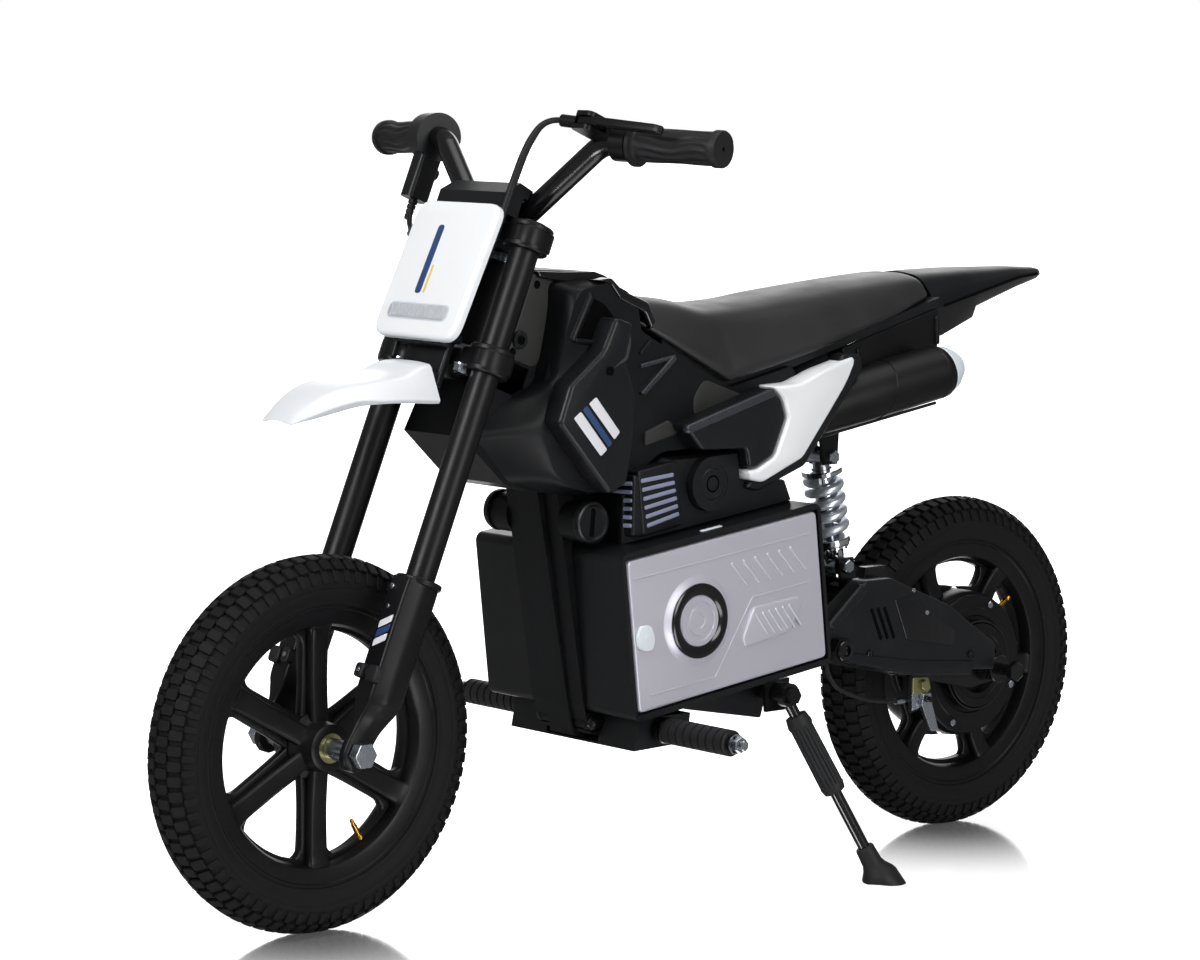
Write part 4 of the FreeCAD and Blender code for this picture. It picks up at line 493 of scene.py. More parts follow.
def rounded(outline, radius, steps=5):
    """Corners replaced by quadratic arcs: (1-t)^2 a + 2t(1-t) corner + t^2 b, a and b on the two sides."""
    corner = np.asarray(outline, float)
    before = np.roll(corner, 1, 0) - corner
    after = np.roll(corner, -1, 0) - corner
    back = np.linalg.norm(before, axis=1, keepdims=True)
    on = np.linalg.norm(after, axis=1, keepdims=True)
    reach = np.minimum(np.asarray(radius, float).reshape(-1, 1), 0.45 * np.minimum(back, on))
    start = (corner + before / back * reach)[:, None]
    end = (corner + after / on * reach)[:, None]
    t = np.linspace(0, 1, steps)[None, :, None]
    return ((1 - t) ** 2 * start + 2 * t * (1 - t) * corner[:, None] + t ** 2 * end).reshape(-1, 2)


def plate(corners, radius, low, high, edge, place=bike, steps=4, tilt=None):
    """A moulded plate: corners (a, b) rounded, raised in y from low to high, the rim turned over by edge."""
    corners = np.asarray(corners, float)
    bend = turns(corners)[2]
    turn = np.linspace(0, np.pi / 2, steps)
    rise = np.sign(high - low)
    levels = [(low, 0.0)] + list(zip(high - rise * edge * (1 - np.sin(turn)), edge * (1 - np.cos(turn))))
    rings = []
    for height, drawn in levels:
        flat = rounded(inset(corners, drawn), np.maximum(radius - bend * drawn, 0.3), 6)
        lift = np.full(len(flat), height)
        if tilt is not None:
            lift = lift + tilt(flat) * (height - low) / (high - low)
        rings.append(np.stack([flat[:, 0], lift, flat[:, 1]], -1))
    return skin(place(np.array(rings)))


def bar(a, b, width, low, high, edge, place=bike):
    """A straight raised rib between two points of a plane, with round ends."""
    a, b = np.asarray(a, float), np.asarray(b, float)
    way = (b - a) / np.linalg.norm(b - a)
    side = np.array((-way[1], way[0])) * width / 2
    ends = way * width / 2
    return plate([a - ends - side, a - ends + side, b + ends + side, b + ends - side], 0.45 * width, low,
                 high, edge, place)


def round_bolt(centre, axis, radius, tall, place=bike, socket=0.0):
    """A round screw head with a softened rim, and a dished socket where one is given."""
    profile = [(0, radius), (0.7 * tall, radius), (0.92 * tall, 0.92 * radius), (tall, 0.75 * radius)]
    if socket:
        profile += [(tall, socket), (0.35 * tall, 0.9 * socket), (0.3 * tall, 0.02)]
    else:
        profile += [(1.05 * tall, 0.02)]
    return lathe(profile, centre, axis, place, 20)


def hex_bolt(centre, axis, across, tall, place=bike):
    """A hexagon head with a chamfered crown."""
    reach = across / math.sqrt(3)
    return lathe([(0, reach), (0.85 * tall, reach), (tall, 0.86 * reach), (tall, 0.02)], centre, axis,
                 place, 6)


def mirror(shape):
    """The same shape on the other side of the bike."""
    points, faces = shape
    return points * (1, -1, 1), faces


def both(shapes):
    """Shapes of the left side with their right twins."""
    return list(shapes) + [mirror(s) for s in shapes]


def piece(name, shapes, material, body="chassis", replaces=(), slot=None, sharp=32):
    """One object from several shapes: normals turned outward, edges over a limit angle kept sharp."""
    counts = np.cumsum([0] + [len(points) for points, _ in shapes])
    points = np.concatenate([points for points, _ in shapes])
    faces = [[i + start for i in face] for (_, group), start in zip(shapes, counts) for face in group]
    mesh = bpy.data.meshes.new(name)
    mesh.from_pydata(points.tolist(), [], faces)
    work = bmesh.new()
    work.from_mesh(mesh)
    bmesh.ops.recalc_face_normals(work, faces=work.faces)
    work.to_mesh(mesh)
    work.free()
    mesh.shade_smooth()
    mesh.set_sharp_from_angle(angle=math.radians(sharp))
    mesh.materials.append(material)
    thing = bpy.data.objects.new(name, mesh)
    bpy.context.scene.collection.objects.link(thing)
    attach(thing, body)
    if replaces:
        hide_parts(*replaces)
    slot = slot or SLOT_OF[material]
    return thing


def soften(names, width, limit=30):
    """Rounds the edges of CAD solids in view: weld the triangles, bevel what is sharper than the limit."""
    for name in names:
        weld = nodes[name].modifiers.new("weld", "WELD")
        weld.merge_threshold = 0.01 * MM
        bevel = nodes[name].modifiers.new("edge_round", "BEVEL")
        bevel.width = width * MM
        bevel.segments = 2
        bevel.limit_method = "ANGLE"
        bevel.angle_limit = math.radians(limit)
        shade = nodes[name].modifiers.new("even_normals", "WEIGHTED_NORMAL")
        shade.keep_sharp = False


def smooth(rows, steps):
    """Catmull-Rom through rows: 0.5 (2b + (c - a)t + (2a - 5b + 4c - d)t^2 + (3b - a - 3c + d)t^3)."""
    rows = np.asarray(rows, float)
    padded = np.vstack([2 * rows[0] - rows[1], rows, 2 * rows[-1] - rows[-2]])
    place = np.linspace(0, len(rows) - 1, steps)
    at = np.minimum(place.astype(int), len(rows) - 2)
    t = (place - at)[:, None]
    a, b, c, d = (padded[at + k] for k in range(4))
    return 0.5 * (2 * b + (c - a) * t + (2 * a - 5 * b + 4 * c - d) * t ** 2
                  + (3 * b - a - 3 * c + d) * t ** 3)


# %% [markdown]
# ## Tyres
# A tyre is pressed in a mould that cuts its tread into blocks.  The carcass here is one section turned
# round the axle, and the tread is one small block per pitch and row, set on the section's own slope and
# staggered by half a pitch from row to row, as on the photographed tyre.

# %% Tyres
BLOCKS = 76
# The section: half its width, the radius of its middle and the crown's height above that
TYRE_HALF, TYRE_MIDDLE, TYRE_CROWN = 27.4, 152, 22
TREAD_RADIUS = 176
# Row middle and half width in degrees round the section, half length and rise in mm, shift in pitches
TREAD_ROWS = ((-14, 12.2, 5.0, 4.0, 0.0), (14, 12.2, 5.0, 4.0, 0.5), (-41, 13.2, 5.0, 3.8, 0.5),
              (41, 13.2, 5.0, 3.8, 0.0), (-70, 14, 3.5, 2.4, 0.0), (70, 14, 3.5, 2.4, 0.5))
OCTAGON = np.array([(-1, -0.8), (-0.8, -1), (0.8, -1), (1, -0.8), (1, 0.8), (0.8, 1), (-0.8, 1), (-1, 0.8)])
SIDE_WALL = np.array([(27.1, 149.2), (26.6, 148.4), (26.8, 147.2), (26.0, 143), (24.6, 138.5), (23.6, 136.2),
                      (23.8, 134.8), (22.6, 132.8), (20, 132.2)])


def carcass(x):
    """The section, y = half sin s and radius = middle + crown cos s, closed by side walls and turned."""
    slope = np.radians(np.linspace(-96, 96, 49))
    crown = np.c_[TYRE_HALF * np.sin(slope), TYRE_MIDDLE + TYRE_CROWN * np.cos(slope)]
    profile = np.r_[crown, SIDE_WALL, SIDE_WALL[::-1] * (-1, 1)]
    return lathe(profile, (x, 0, 0), sides=180, closed=True)


def tread_row(x, middle, half, length, rise, shift):
    """A ring of blocks: octagons at three lifts above the section, drawn in towards the top."""
    start = ((np.arange(BLOCKS) + shift) * 2 * np.pi / BLOCKS)[:, None, None]
    lift = np.array([-1.2, 0.8 * rise, rise])[None, :, None]
    size = np.array([1.08, 1.0, 0.9])[None, :, None]
    slope = np.radians(middle + half * size * OCTAGON[:, 0])
    turn = start + length * size * OCTAGON[:, 1] / TREAD_RADIUS
    away = TYRE_MIDDLE + (TYRE_CROWN + lift) * np.cos(slope)
    side = (TYRE_HALF + lift) * np.sin(slope)
    points = np.stack(np.broadcast_arrays(x + away * np.cos(turn), side, away * np.sin(turn)), -1)
    first = np.arange(BLOCKS)[:, None, None] * 24
    walls = (quads(3, 8, True)[None] + first).reshape(-1, 4).tolist()
    ends = np.stack([np.arange(8)[::-1], np.arange(16, 24)])
    return bike(points).reshape(-1, 3), walls + (ends[None] + first).reshape(-1, 8).tolist()


for name, x, body in (("front_tyre", REACH, "front_wheel"), ("rear_tyre", -REACH, "rear_wheel")):
    rows = [tread_row(x, *row) for row in TREAD_ROWS]
    piece(name + "_moulded", [carcass(x)] + rows, tyre_rubber, body, [name])
print("tread blocks per tyre:", BLOCKS * len(TREAD_ROWS))

# %% [markdown]
# ## Wheels
# The cast wheels have six spokes, each a box rib on a flat web whose edges run in arcs into hub and rim,
# so the windows have round corners.  A spoke is a stack of rounded rectangles along the radius.

# %% Wheel parts
RIM_WALL = [(20.2, 133.6), (21.4, 132.2), (21.3, 129.6), (19.8, 128.4), (18.9, 118), (17.4, 114.6),
            (13.5, 112.4), (6, 111.3), (0, 111)]
CHANNEL = [(-16.5, 133.6), (-13.5, 127.5), (0, 126), (13.5, 127.5), (16.5, 133.6)]
WINDOW_RING = [(5.2, 113), (5.2, 108.6), (4.2, 107.7), (-4.2, 107.7), (-5.2, 108.6), (-5.2, 113)]
turn = circle(28)
box_ring = np.stack([np.cos(turn), np.sin(turn)], -1)
box_ring = np.sign(box_ring) * np.abs(box_ring) ** 0.32


def spoke(x, angle, rows, steps=36):
    """Rounded rectangles along a radius; each row gives the radius, half width and half depth."""
    away, wide, deep = (column[:, None] for column in smooth(rows, steps).T)
    across = wide * box_ring[:, 0]
    side = deep * box_ring[:, 1]
    away = np.broadcast_to(away, across.shape)
    c, s = math.cos(angle), math.sin(angle)
    return skin(bike(np.stack([x + away * c - across * s, side, away * s + across * c], -1)))


def barrel(x):
    """The rim's section: lip, inner wall and tyre channel, turned round the axle."""
    wall = np.array(RIM_WALL)
    profile = np.r_[wall, wall[-2::-1] * (-1, 1), CHANNEL]
    return [lathe(profile, (x, 0, 0), sides=144, closed=True),
            lathe(WINDOW_RING, (x, 0, 0), sides=144, closed=True)]


FLANGE_END = [(95, 15.5, 4.6), (101, 18, 4.7), (105, 22.5, 4.9), (108, 29, 5), (110.5, 38, 5)]
FRONT_FLANGE = [(24, 17, 4.6), (34, 16.6, 4.6), (44, 16, 4.6), (56, 15.6, 4.6), (78, 15.4, 4.6)]
FRONT_RIB = [(18, 10.6, 16), (30, 10.4, 14.6), (60, 10.4, 12.6), (95, 11, 13), (108, 12, 14.6),
             (114, 14, 17)]
REAR_FLANGE = [(72, 36, 4.6), (78, 27, 4.6), (82, 19.5, 4.6), (86, 16.4, 4.6), (90, 15.6, 4.6)]
REAR_RIB = [(74, 11, 17), (84, 10, 14), (96, 10, 13.4), (108, 11, 15), (114, 13, 17)]
HUB = np.array([(30, 14.2), (30, 20), (29, 22.4), (15, 24), (10.5, 27), (8.5, 30), (7, 32)])
HOUSING = np.array([(32, 70), (32, 75.2), (28, 77.4), (20, 78)])


def cast_wheel(x, start, flange, rib, hub, sides):
    """The barrel, six spokes that are each a web and a rib, and a hub turned from half its section."""
    shapes = barrel(x)
    for angle in np.radians(start + 60 * np.arange(6)):
        shapes += [spoke(x, angle, flange + FLANGE_END), spoke(x, angle, rib)]
    return shapes + [lathe(np.r_[hub, hub[::-1] * (-1, 1)], (x, 0, 0), sides=sides, closed=True)]


piece("front_rim_cast", cast_wheel(REACH, 30, FRONT_FLANGE, FRONT_RIB, HUB, 72), alloy, "front_wheel",
      ["front_rim"])
piece("rear_rim_cast", cast_wheel(-REACH, 6, REAR_FLANGE, REAR_RIB, HOUSING, 96), alloy, "rear_wheel",
      ["rear_rim"])

COVER_FACE = [(32, 14.2), (32, 74.6), (34.6, 74.6), (36, 73.2), (36.2, 62), (37.4, 60.8), (37.4, 53),
              (36.2, 51.8)]
DRUM_SIDE = [(36.2, 45), (47.2, 45), (48, 44.2), (48, 36), (47, 35), (47, 30), (38, 28), (38, 14.2)]
PLAIN_SIDE = [(36.2, 24), (38, 22), (38, 14.2)]
shapes = [lathe(COVER_FACE + DRUM_SIDE, (-REACH, 0, 0), sides=96, closed=True),
          lathe(COVER_FACE + PLAIN_SIDE, (-REACH, 0, 0), (0, -1, 0), sides=96, closed=True)]
piece("hub_motor_covers", shapes, alloy, "rear_wheel", ["motor_covers"])
shapes = []
for angle in np.radians([24, 112, 204, 296]):
    spot = np.array((-REACH + 67 * math.cos(angle), 0, 67 * math.sin(angle)))
    shapes += [hex_bolt(spot + (0, 36, 0), LEFT, 7, 3.4), hex_bolt(spot - (0, 36, 0), (0, -1, 0), 7, 3.4)]
piece("hub_screws", shapes, zinc, "rear_wheel")
STEM = [(0, 3.6), (3, 3.4), (4, 2.7), (16, 2.7), (16.5, 2.1), (21, 2.1), (22, 1.6), (22, 0.02)]
for body, x, angle in (("front_wheel", REACH, math.radians(240)), ("rear_wheel", -REACH, math.radians(146))):
    way = np.array((-math.cos(angle), 0, -math.sin(angle)))
    piece(body + "_valve", [lathe(STEM, np.array((x, 4, 0)) - way * 110, way, sides=16)], brass, body)
print("wheels dressed")

# %% [markdown]
# ## Handlebar group
# The grips are soft rubber with shallow waves that run along them.  Their skin is a turned grid whose
# radius ripples with the angle, and the ripple's phase swings along the grip.

# %% Grips
BEND = np.array((-8.4, 118, 612.6))
BAR_LINE = np.array((-29.5, 126, 8.5)) / math.hypot(29.5, 126, 8.5)
GRIP_AT = 35.69


def grip():
    """Radius = base + 0.65 sin(13 t + 1.5 sin(2 pi d / 60)) along d, faded at the ends; flange and cap."""
    axis, first, second = basis(BAR_LINE)
    along = np.r_[0, 0.4, 4.2, 5, np.linspace(7, 88, 60), 89.5, 90, 96.5, 97.8, 98]
    base = np.interp(along, [0, 0.4, 4.2, 5, 7, 60, 89.5, 90, 96.5, 97.8, 98],
                     [20, 21, 21, 17, 15.7, 15.3, 15.6, 17.6, 17.6, 16.8, 11.4])
    turn = circle(130)
    wave = np.sin(13 * turn[None] + 1.5 * np.sin(2 * np.pi * along[:, None] / 60))
    fade = np.clip((along - 8) / 6, 0, 1) * np.clip((88 - along) / 4, 0, 1)
    radius = base[:, None] + 0.65 * wave * fade[:, None]
    rays = spokes(turn, first, second)
    rings = BEND + axis * (GRIP_AT + along)[:, None, None] + radius[:, :, None] * rays
    cap = BEND + axis * (GRIP_AT + 97.4) + rays[None] * np.array([9, 2.4, 2.2])[:, None, None]
    hole = cap[-1:] - axis * 3
    return [skin(fork(np.concatenate([rings, cap, hole])))]


left_grip = grip()
piece("left_grip_rubber", left_grip, soft_rubber, "steering", ["left_grip"])
piece("throttle_grip_rubber", [mirror(s) for s in left_grip], soft_rubber, "throttle", ["throttle_grip"])

# %% [markdown]
# ## Number plate, lamp and fender
# The white plate is a thick moulding with a generously rounded rim, the lamp a ribbed acrylic strip let
# into it. Two plain stripes lie on its face.

# %% Front plate
PLATE_LEAN = math.radians(3.3)


def plated(points):
    """Plate frame: across, ahead, up; leaned back on the fork by a small angle."""
    p = np.asarray(points, float)
    ahead = 40 + p[..., 1] * math.cos(PLATE_LEAN) - p[..., 2] * math.sin(PLATE_LEAN)
    up = 460.6 + p[..., 1] * math.sin(PLATE_LEAN) + p[..., 2] * math.cos(PLATE_LEAN)
    return fork(np.stack([ahead, p[..., 0], up], -1))


def panel(low, high):
    """The four corners of a rectangle."""
    (a, b), (c, d) = low, high
    return [(a, b), (c, b), (c, d), (a, d)]


plate_outline = panel((-60, -70), (60, 70))
piece("number_plate_shell", [plate(plate_outline, 17, -4.5, 4.5, 4.4, plated, 7)], abs_white, "steering",
      ["number_plate"])
lens_outline = panel((-45, -52), (42, -37))
flutes = [bar((x, -49.5), (x, -39.5), 2.2, 4.9, 6.0, 0.8, plated) for x in np.arange(-39, 37, 3.8)]
piece("lamp_lens_ribbed", [plate(lens_outline, 6.5, 1.6, 5.6, 1.4, plated)] + flutes, lens_clear,
      "steering", ["headlight_lens"])
piece("lamp_reflector", [plate(inset(lens_outline, -1), 7, 4.4, 4.8, 0.2, plated)], reflector, "steering")
for name, top, foot, wide, film in (("plate_stripe_blue", (-13, 40), (-13, -22), 9, film_blue),
                                    ("plate_stripe_yellow", (-4, 2), (-4, -24), 3, film_yellow)):
    piece(name, [bar(top, foot, wide, 4.4, 4.62, 0.1, plated)], film, "steering", slot="white_plastic")

# A face that looks ahead on the fork, and a plate square to its tubes
fork_face = swapped(fork, 1, 0, 2)
fork_flat = swapped(fork, 2, 0, 1)
shapes = [plate(panel((-37, 388), (39, 404)), 3, 30, 39, 2, fork_face),
          plate(panel((-30, 352), (30, 404)), 3, 18, 25, 2, fork_face),
          plate(panel((-28, 352), (28, 366)), 3, 18, 38.5, 2, fork_face),
          plate(panel((-37, 396), (39, 404)), 3, 18, 38, 2, fork_face),
          plate(panel((-36, 372), (-31, 392)), 2, 32, 37, 1.5, fork_face)]
shapes += [plate(panel((y, 389), (y + 2.5, 403)), 1, 38, 40.5, 0.8, fork_face) for y in (-33, -9, 8, 33)]
piece("plate_bracket_ribbed", shapes, abs_black, "steering", ["plate_bracket"])
# Painted shade: near-black dishes stand for the shadowed screw holes
holes = [lathe([(38.9, 3.2), (39.4, 2.7), (39.2, 0.02)], (0, y, 396), (1, 0, 0), fork, 20)
         for y in (-25, -15, 16, 26)]
piece("bracket_screw_holes", holes, dark_hole, "steering")

# %% Clamps and fork legs
# Each clamp is one casting with round ends, and a collar round each tube
CLAMP = [(86, 19), (86, -20), (50, -20), (24, -49), (-24, -49), (-50, -20), (-86, -20), (-86, 19),
         (-44, 19), (-36, 12), (36, 12), (44, 19)]
CLAMP_ROUND = [18, 18, 10, 14, 14, 10, 18, 18, 6, 6, 6, 6]
COLLAR = [(-4, 14.2), (-4, 20), (-2.6, 21.4), (0.8, 21.4), (2, 19.6), (16, 19.6), (17.2, 21.4),
          (20.6, 21.4), (22, 20), (22, 14.2)]
for name, low, blocks in (("lower_clamp", 378, []), ("upper_clamp", 502, [(11, 22), (-22, -11)])):
    shapes = [plate(CLAMP, np.array(CLAMP_ROUND, float), low, low + 18, 2, fork_flat)]
    shapes += [lathe(COLLAR, (0, y, low), (0, 0, 1), fork, 48, closed=True) for y in (-65, 65)]
    shapes += [plate(panel((a, -27.4), (b, 4.6)), 3, low + 17, low + 45, 2, fork_flat) for a, b in blocks]
    piece(name + "_cast", shapes, alloy, "steering", [name], slot="black_metal")
shapes = [hex_bolt((14, y, 377.5), (0, 0, -1), 13, 8, fork) for y in (-46, 46)]
shapes += [lathe([(0, 9), (-1.6, 9), (-1.6, 0.02)], (14, y, 378), (0, 0, 1), fork, 28) for y in (-46, 46)]
piece("clamp_bolts", shapes, zinc, "steering")

# Along the tube, front, back, half width, left: a flat-faced guard that thins into the axle plate
LEG = [(169, 20, -19, 19.4, 65), (164, 22.5, -20.5, 20.5, 65), (110, 23.5, -20.5, 20.5, 65),
       (60, 23.5, -20, 20, 65.5), (46, 22, -18, 16, 65.5), (34, 21.5, -13, 10, 65), (22, 22.5, -8, 7.2, 65),
       (8, 25, -5, 7, 65), (-4, 25.5, -4.5, 7, 65), (-12, 22, -1, 6.8, 65), (-17, 15, 6, 6, 65)]
rings = []
for along, front, back, half, left in smooth(LEG, 70):
    middle = front - 0.4 * (front - back)
    outline = [(front, left - 0.6 * half), (front, left + 0.6 * half), (middle, left + half),
               (back, left + 0.5 * half), (back, left - 0.5 * half), (middle, left - half)]
    ring = rounded(outline, [2.5, 2.5, 8, 9, 9, 8], 6)
    rings.append(np.c_[ring, np.full(len(ring), along)])
lip = [(166, 14.3), (166, 20.6), (167, 22), (171, 22), (172, 21), (172, 14.3)]
leg = [skin(fork(rings)), lathe(lip, (0, 65, 0), (0, 0, 1), fork, 48, closed=True)]
piece("fork_leg_guards", both(leg), alloy, "fork_lower", ["fork_legs"], slot="black_metal", sharp=40)
clip = [plate(panel((50, 68), (62, 82)), 4, 22, 30, 2, fork_face),
        plate(panel((66, 66), (82, 82)), 5, 22, 29, 2, fork_face),
        bar((56, 75), (74, 74), 7, 22, 26, 2, fork_face)]
piece("guard_clips", both(clip), soft_rubber, "fork_lower")
shapes = [round_bolt((22.6, 58, 158), (1, 0, 0), 3, 2, fork),
          round_bolt((23, 61, 139), (1, 0, 0), 2.2, 1.4, fork),
          round_bolt((29.5, 56, 75), (1, 0, 0), 2.4, 1.5, fork)]
piece("guard_screws", both(shapes), zinc, "fork_lower")
for name, tops, film in (("guard_bars_pale", (124, 106), film_grey), ("guard_bars_blue", (115,), film_blue)):
    slants = [[(57, top), (73, top + 8), (73, top + 1), (57, top - 7)] for top in tops]
    bars = [plate(slant, 1.5, 22.8, 23.75, 0.1, fork_face) for slant in slants]
    piece(name, both(bars), film, "fork_lower", slot="gloss_black")
# The throttle lead leaves through a ribbed strain relief
relief = [(0, 3)]
for count in range(5):
    low, wide = 5 * count, 5 - 0.3 * count
    relief += [(low, wide), (low + 3.4, wide), (low + 3.8, 3.4), (low + 4.8, 3.4)]
piece("lead_strain_relief", [lathe(relief + [(25, 2)], DROP - (0, 0, 62), (0, 0, -1), fork, 24)],
      soft_rubber, "steering")

# %% Fender
# Ahead of the axle, ridge, edge, half width at the ridge and at the edge, depth of the turned-in rim
FENDER = [(-110, 354, 319, 35, 50, 3), (-98, 352, 319.5, 35, 50, 3), (-77, 344.5, 321, 36, 51, 3),
          (-45, 341, 322, 35.5, 51, 3), (-20, 338, 323, 33, 47, 6), (0, 333.5, 319, 30, 41, 7),
          (20, 324, 312, 26, 34, 5), (34, 314.5, 306.5, 21.5, 28, 2.5), (41, 308, 303.5, 18.5, 24.5, 1.2),
          (43.5, 305, 303, 17, 23, 0.6)]
rings = []
for ahead, ridge, edge, top, low, turned in smooth(FENDER, 60):
    outer = [(-low + 0.8 * turned, edge - turned), (-low, edge), (-top, ridge - 2), (-0.45 * top, ridge),
             (0.45 * top, ridge), (top, ridge - 2), (low, edge), (low - 0.8 * turned, edge - turned)]
    thin = min(2.4, 0.35 * (ridge - edge))
    inner = [(y * (1 - 2.4 / low), z - (thin if 0 < k < 7 else 0)) for k, (y, z) in enumerate(outer)]
    ring = rounded(outer + inner[::-1], [1, 1.5, 4, 10, 10, 4, 1.5, 1] + [1] * 8, 5)
    rings.append(stand_at(REACH + ahead, ring))
# Painted shade: the fender's white is darkened so that its lit faces don't burn out
piece("front_fender_shell", [skin(bike(rings))], fender_painted_shade, "steering", ["front_fender"], sharp=50)

# %% [markdown]
# ## Seat
# A moulded foam pad under grained vinyl.  Its sections are laid out along the bike with a flat underside,
# sloped sides, soft shoulders and a low crown, and the skin is drawn smoothly through them.

# %% Seat
# Behind mid-wheelbase, underside, half width there, shoulder, half width there, crown
SEAT = [(90, 386, 58, 397, 34, 400), (84, 383, 66, 401, 39, 405), (56, 368, 73, 403, 44, 408.5),
        (20, 349, 77, 398, 51, 406), (-27, 324, 79, 388, 56, 399), (-90, 337, 79, 390, 58, 401),
        (-148, 350, 79, 396, 59, 408), (-250, 376, 72, 408, 55, 418), (-316, 393, 60, 415, 48, 423),
        (-330, 397.5, 53, 413.5, 43, 420), (-336, 402, 44, 410.5, 36, 414)]
seat_rows = smooth(SEAT, 121)
# The lower edge keeps its sharp bend at the lowest point
table = np.array(SEAT)[::-1]
seat_rows[:, 1] = np.interp(seat_rows[:, 0], table[:, 0], table[:, 1])
rings = []
for x, low, wide, shoulder, top, crown in seat_rows:
    lift = (shoulder - low) * 0.16
    section = [(-wide + 2, low), (wide - 2, low), (wide, low + lift), (top, shoulder),
               (0.45 * top, crown - 1.2), (-0.45 * top, crown - 1.2), (-top, shoulder), (-wide, low + lift)]
    ring = rounded(section, [3, 3, 7, 15, 20, 20, 15, 7], 6)
    rings.append(stand_at(x, ring))
seat = piece("seat_pad", [skin(bike(rings))], vinyl, "chassis", ["seat_cushion"], sharp=60)

# %% [markdown]
# ## Side mouldings
# Shroud, side cover and white panel are separate mouldings screwed to the body, each with a rolled edge.

# %% Side mouldings
SHROUD = [(212, 295), (147, 224), (125, 234), (117, 275), (114, 317), (128, 353), (119, 387), (142, 394),
          (158, 362), (198, 332)]
SIDE_COVER = [(51, 285), (-67, 317), (-80, 306), (-87, 287), (-70, 249.5), (-46, 238.5), (-36, 240),
              (-32, 259), (27, 260)]
WHITE_PANEL = [(-68, 318.5), (-103, 320), (-138, 332), (-188, 344), (-193, 331), (-115, 245), (-54, 224),
               (-37, 228), (-36, 237), (-46, 237), (-71, 248.5), (-88.5, 287), (-81, 307)]
STRIP = [(141.3, 392), (127.4, 390.5), (119.5, 383.4), (121, 367.6), (128, 352.6), (140.4, 347.5),
         (161.3, 334), (198, 309), (196.5, 328.5), (155.4, 361.5), (144.8, 363), (139, 385.3)]


def rear_fold(flat):
    """The white panel falls away behind a fold that runs down and forward."""
    past = (-112 - flat[:, 0]) * 0.8 - (flat[:, 1] - 300) * 0.42
    return -0.22 * np.clip(past, 0, 60)


def strip_fall(flat):
    """The strip's face leans up and ahead: it falls away towards its upper edge."""
    return -0.4 * np.clip((flat[:, 0] - 120) * 0.55 + (flat[:, 1] - 352) * 0.8, -12, 22)


piece("shroud_shells", both([plate(SHROUD, 5, 72.3, 96, 4.5)]), abs_black, "chassis", ["shrouds"],
      slot="gloss_black")
# Painted highlight: the strips are coloured greyer where their gloss faces catch the light
piece("shroud_strips", both([plate(STRIP, 4, 90, 99.5, 1.2, tilt=strip_fall)]), abs_painted_highlight)
# Painted shade: a near-black dish stands for the shadowed screw hole
piece("shroud_holes", both([lathe([(97.3, 4.4), (97.7, 3.6), (97.5, 0.02)], (150, 0, 343), sides=24)]),
      dark_hole, slot="gloss_black")
piece("side_cover_shells", both([plate(SIDE_COVER, 5, 72.3, 96, 4)]), abs_black, "chassis", ["side_covers"],
      slot="gloss_black")
piece("white_panel_shells", both([plate(WHITE_PANEL, 5, 72.3, 98, 3.5, tilt=rear_fold)]), abs_white,
      "chassis", ["side_panels"])
BACKING = [(-172, 346), (-198, 346), (-203, 331), (-122, 236), (-57, 214), (-40, 219), (-60, 240),
           (-160, 320)]
piece("panel_backings", both([plate(BACKING, 5, 70, 88, 3)]), abs_black)
BARS_WHITE = [[(195, 300), (160, 262), (152, 268), (186, 306)],
              [(176, 313), (143, 277), (136, 284), (167, 319)]]
BARS_BLUE = [[(184, 307.5), (150, 270), (145.5, 274), (178.5, 311.5)]]
for name, bars, film in (("shroud_bars_pale", BARS_WHITE, film_grey),
                         ("shroud_bars_blue", BARS_BLUE, film_blue)):
    piece(name, both([plate(b, 2, 95.8, 96.2, 0.1) for b in bars]), film, slot="gloss_black")

# %% [markdown]
# ## Battery door
# The silver door carries pressed ribs, a groove line, a round black bezel and a raised louvre panel.

# %% Battery door
DOOR = 109.5
groove_lines = [[(121, 56.5), (-115, 54.5)], [(-111, 6.4), (-32, 6.9)], [(-32, 6.9), (26, -61.4)],
                [(26, -61.4), (112, -60)]]
door_shapes = [plate(panel((-128, -75), (128, 75)), 6, 104.2, DOOR, 2.6, boxed)]
door_shapes += [bar(a, b, 1.6, DOOR - 0.4, DOOR + 0.7, 0.6, boxed) for a, b in groove_lines]
for start in (-8.5, -24.1, -40, -57.2, -73.1, -89):
    door_shapes.append(bar((start, 45), (start - 18, 21), 3.6, DOOR - 0.4, DOOR + 1.2, 1.0, boxed))
flare = [(-0.4, 46), (0.1, 44.5), (1.1, 41), (2.6, 38.5), (3, 37), (-0.4, 35.6)]
RING_AT = (43.3, DOOR, -0.6)
door_shapes.append(lathe(flare, RING_AT, LEFT, boxed, 72, closed=True))
disc = [(0, 25.4), (3, 25.2), (3.8, 24.2), (3.8, 19.6), (2.8, 19), (2.8, 14.6), (3.8, 14), (3.8, 7), (3, 6.4),
        (3, 0.02)]
door_shapes.append(lathe(disc, RING_AT, LEFT, boxed, 64))
HEXAGON = [(-30, -2.6), (-93.7, -3.9), (-98.3, -12.3), (-78.2, -38.4), (-15.6, -40.9), (-11.3, -31.6)]
door_shapes.append(plate(HEXAGON, 5, DOOR - 0.4, DOOR + 2.6, 2.4, boxed))
piece("battery_door_panel", door_shapes, silver, "door", ["battery_door"])
bezel = [(-0.2, 37), (4.2, 36.8), (5.4, 35), (5.6, 32), (4.8, 28), (3.2, 25.5), (-0.2, 25.5)]
piece("door_bezel", [lathe(bezel, RING_AT, LEFT, boxed, 72, closed=True)], abs_gloss, "door")
slots = [bar((start, -11), (start - 14, -33), 3.4, DOOR + 2, DOOR + 3.6, 1.5, boxed)
         for start in np.linspace(-33, -79, 6)]
piece("door_louvres", slots, silver, "door")
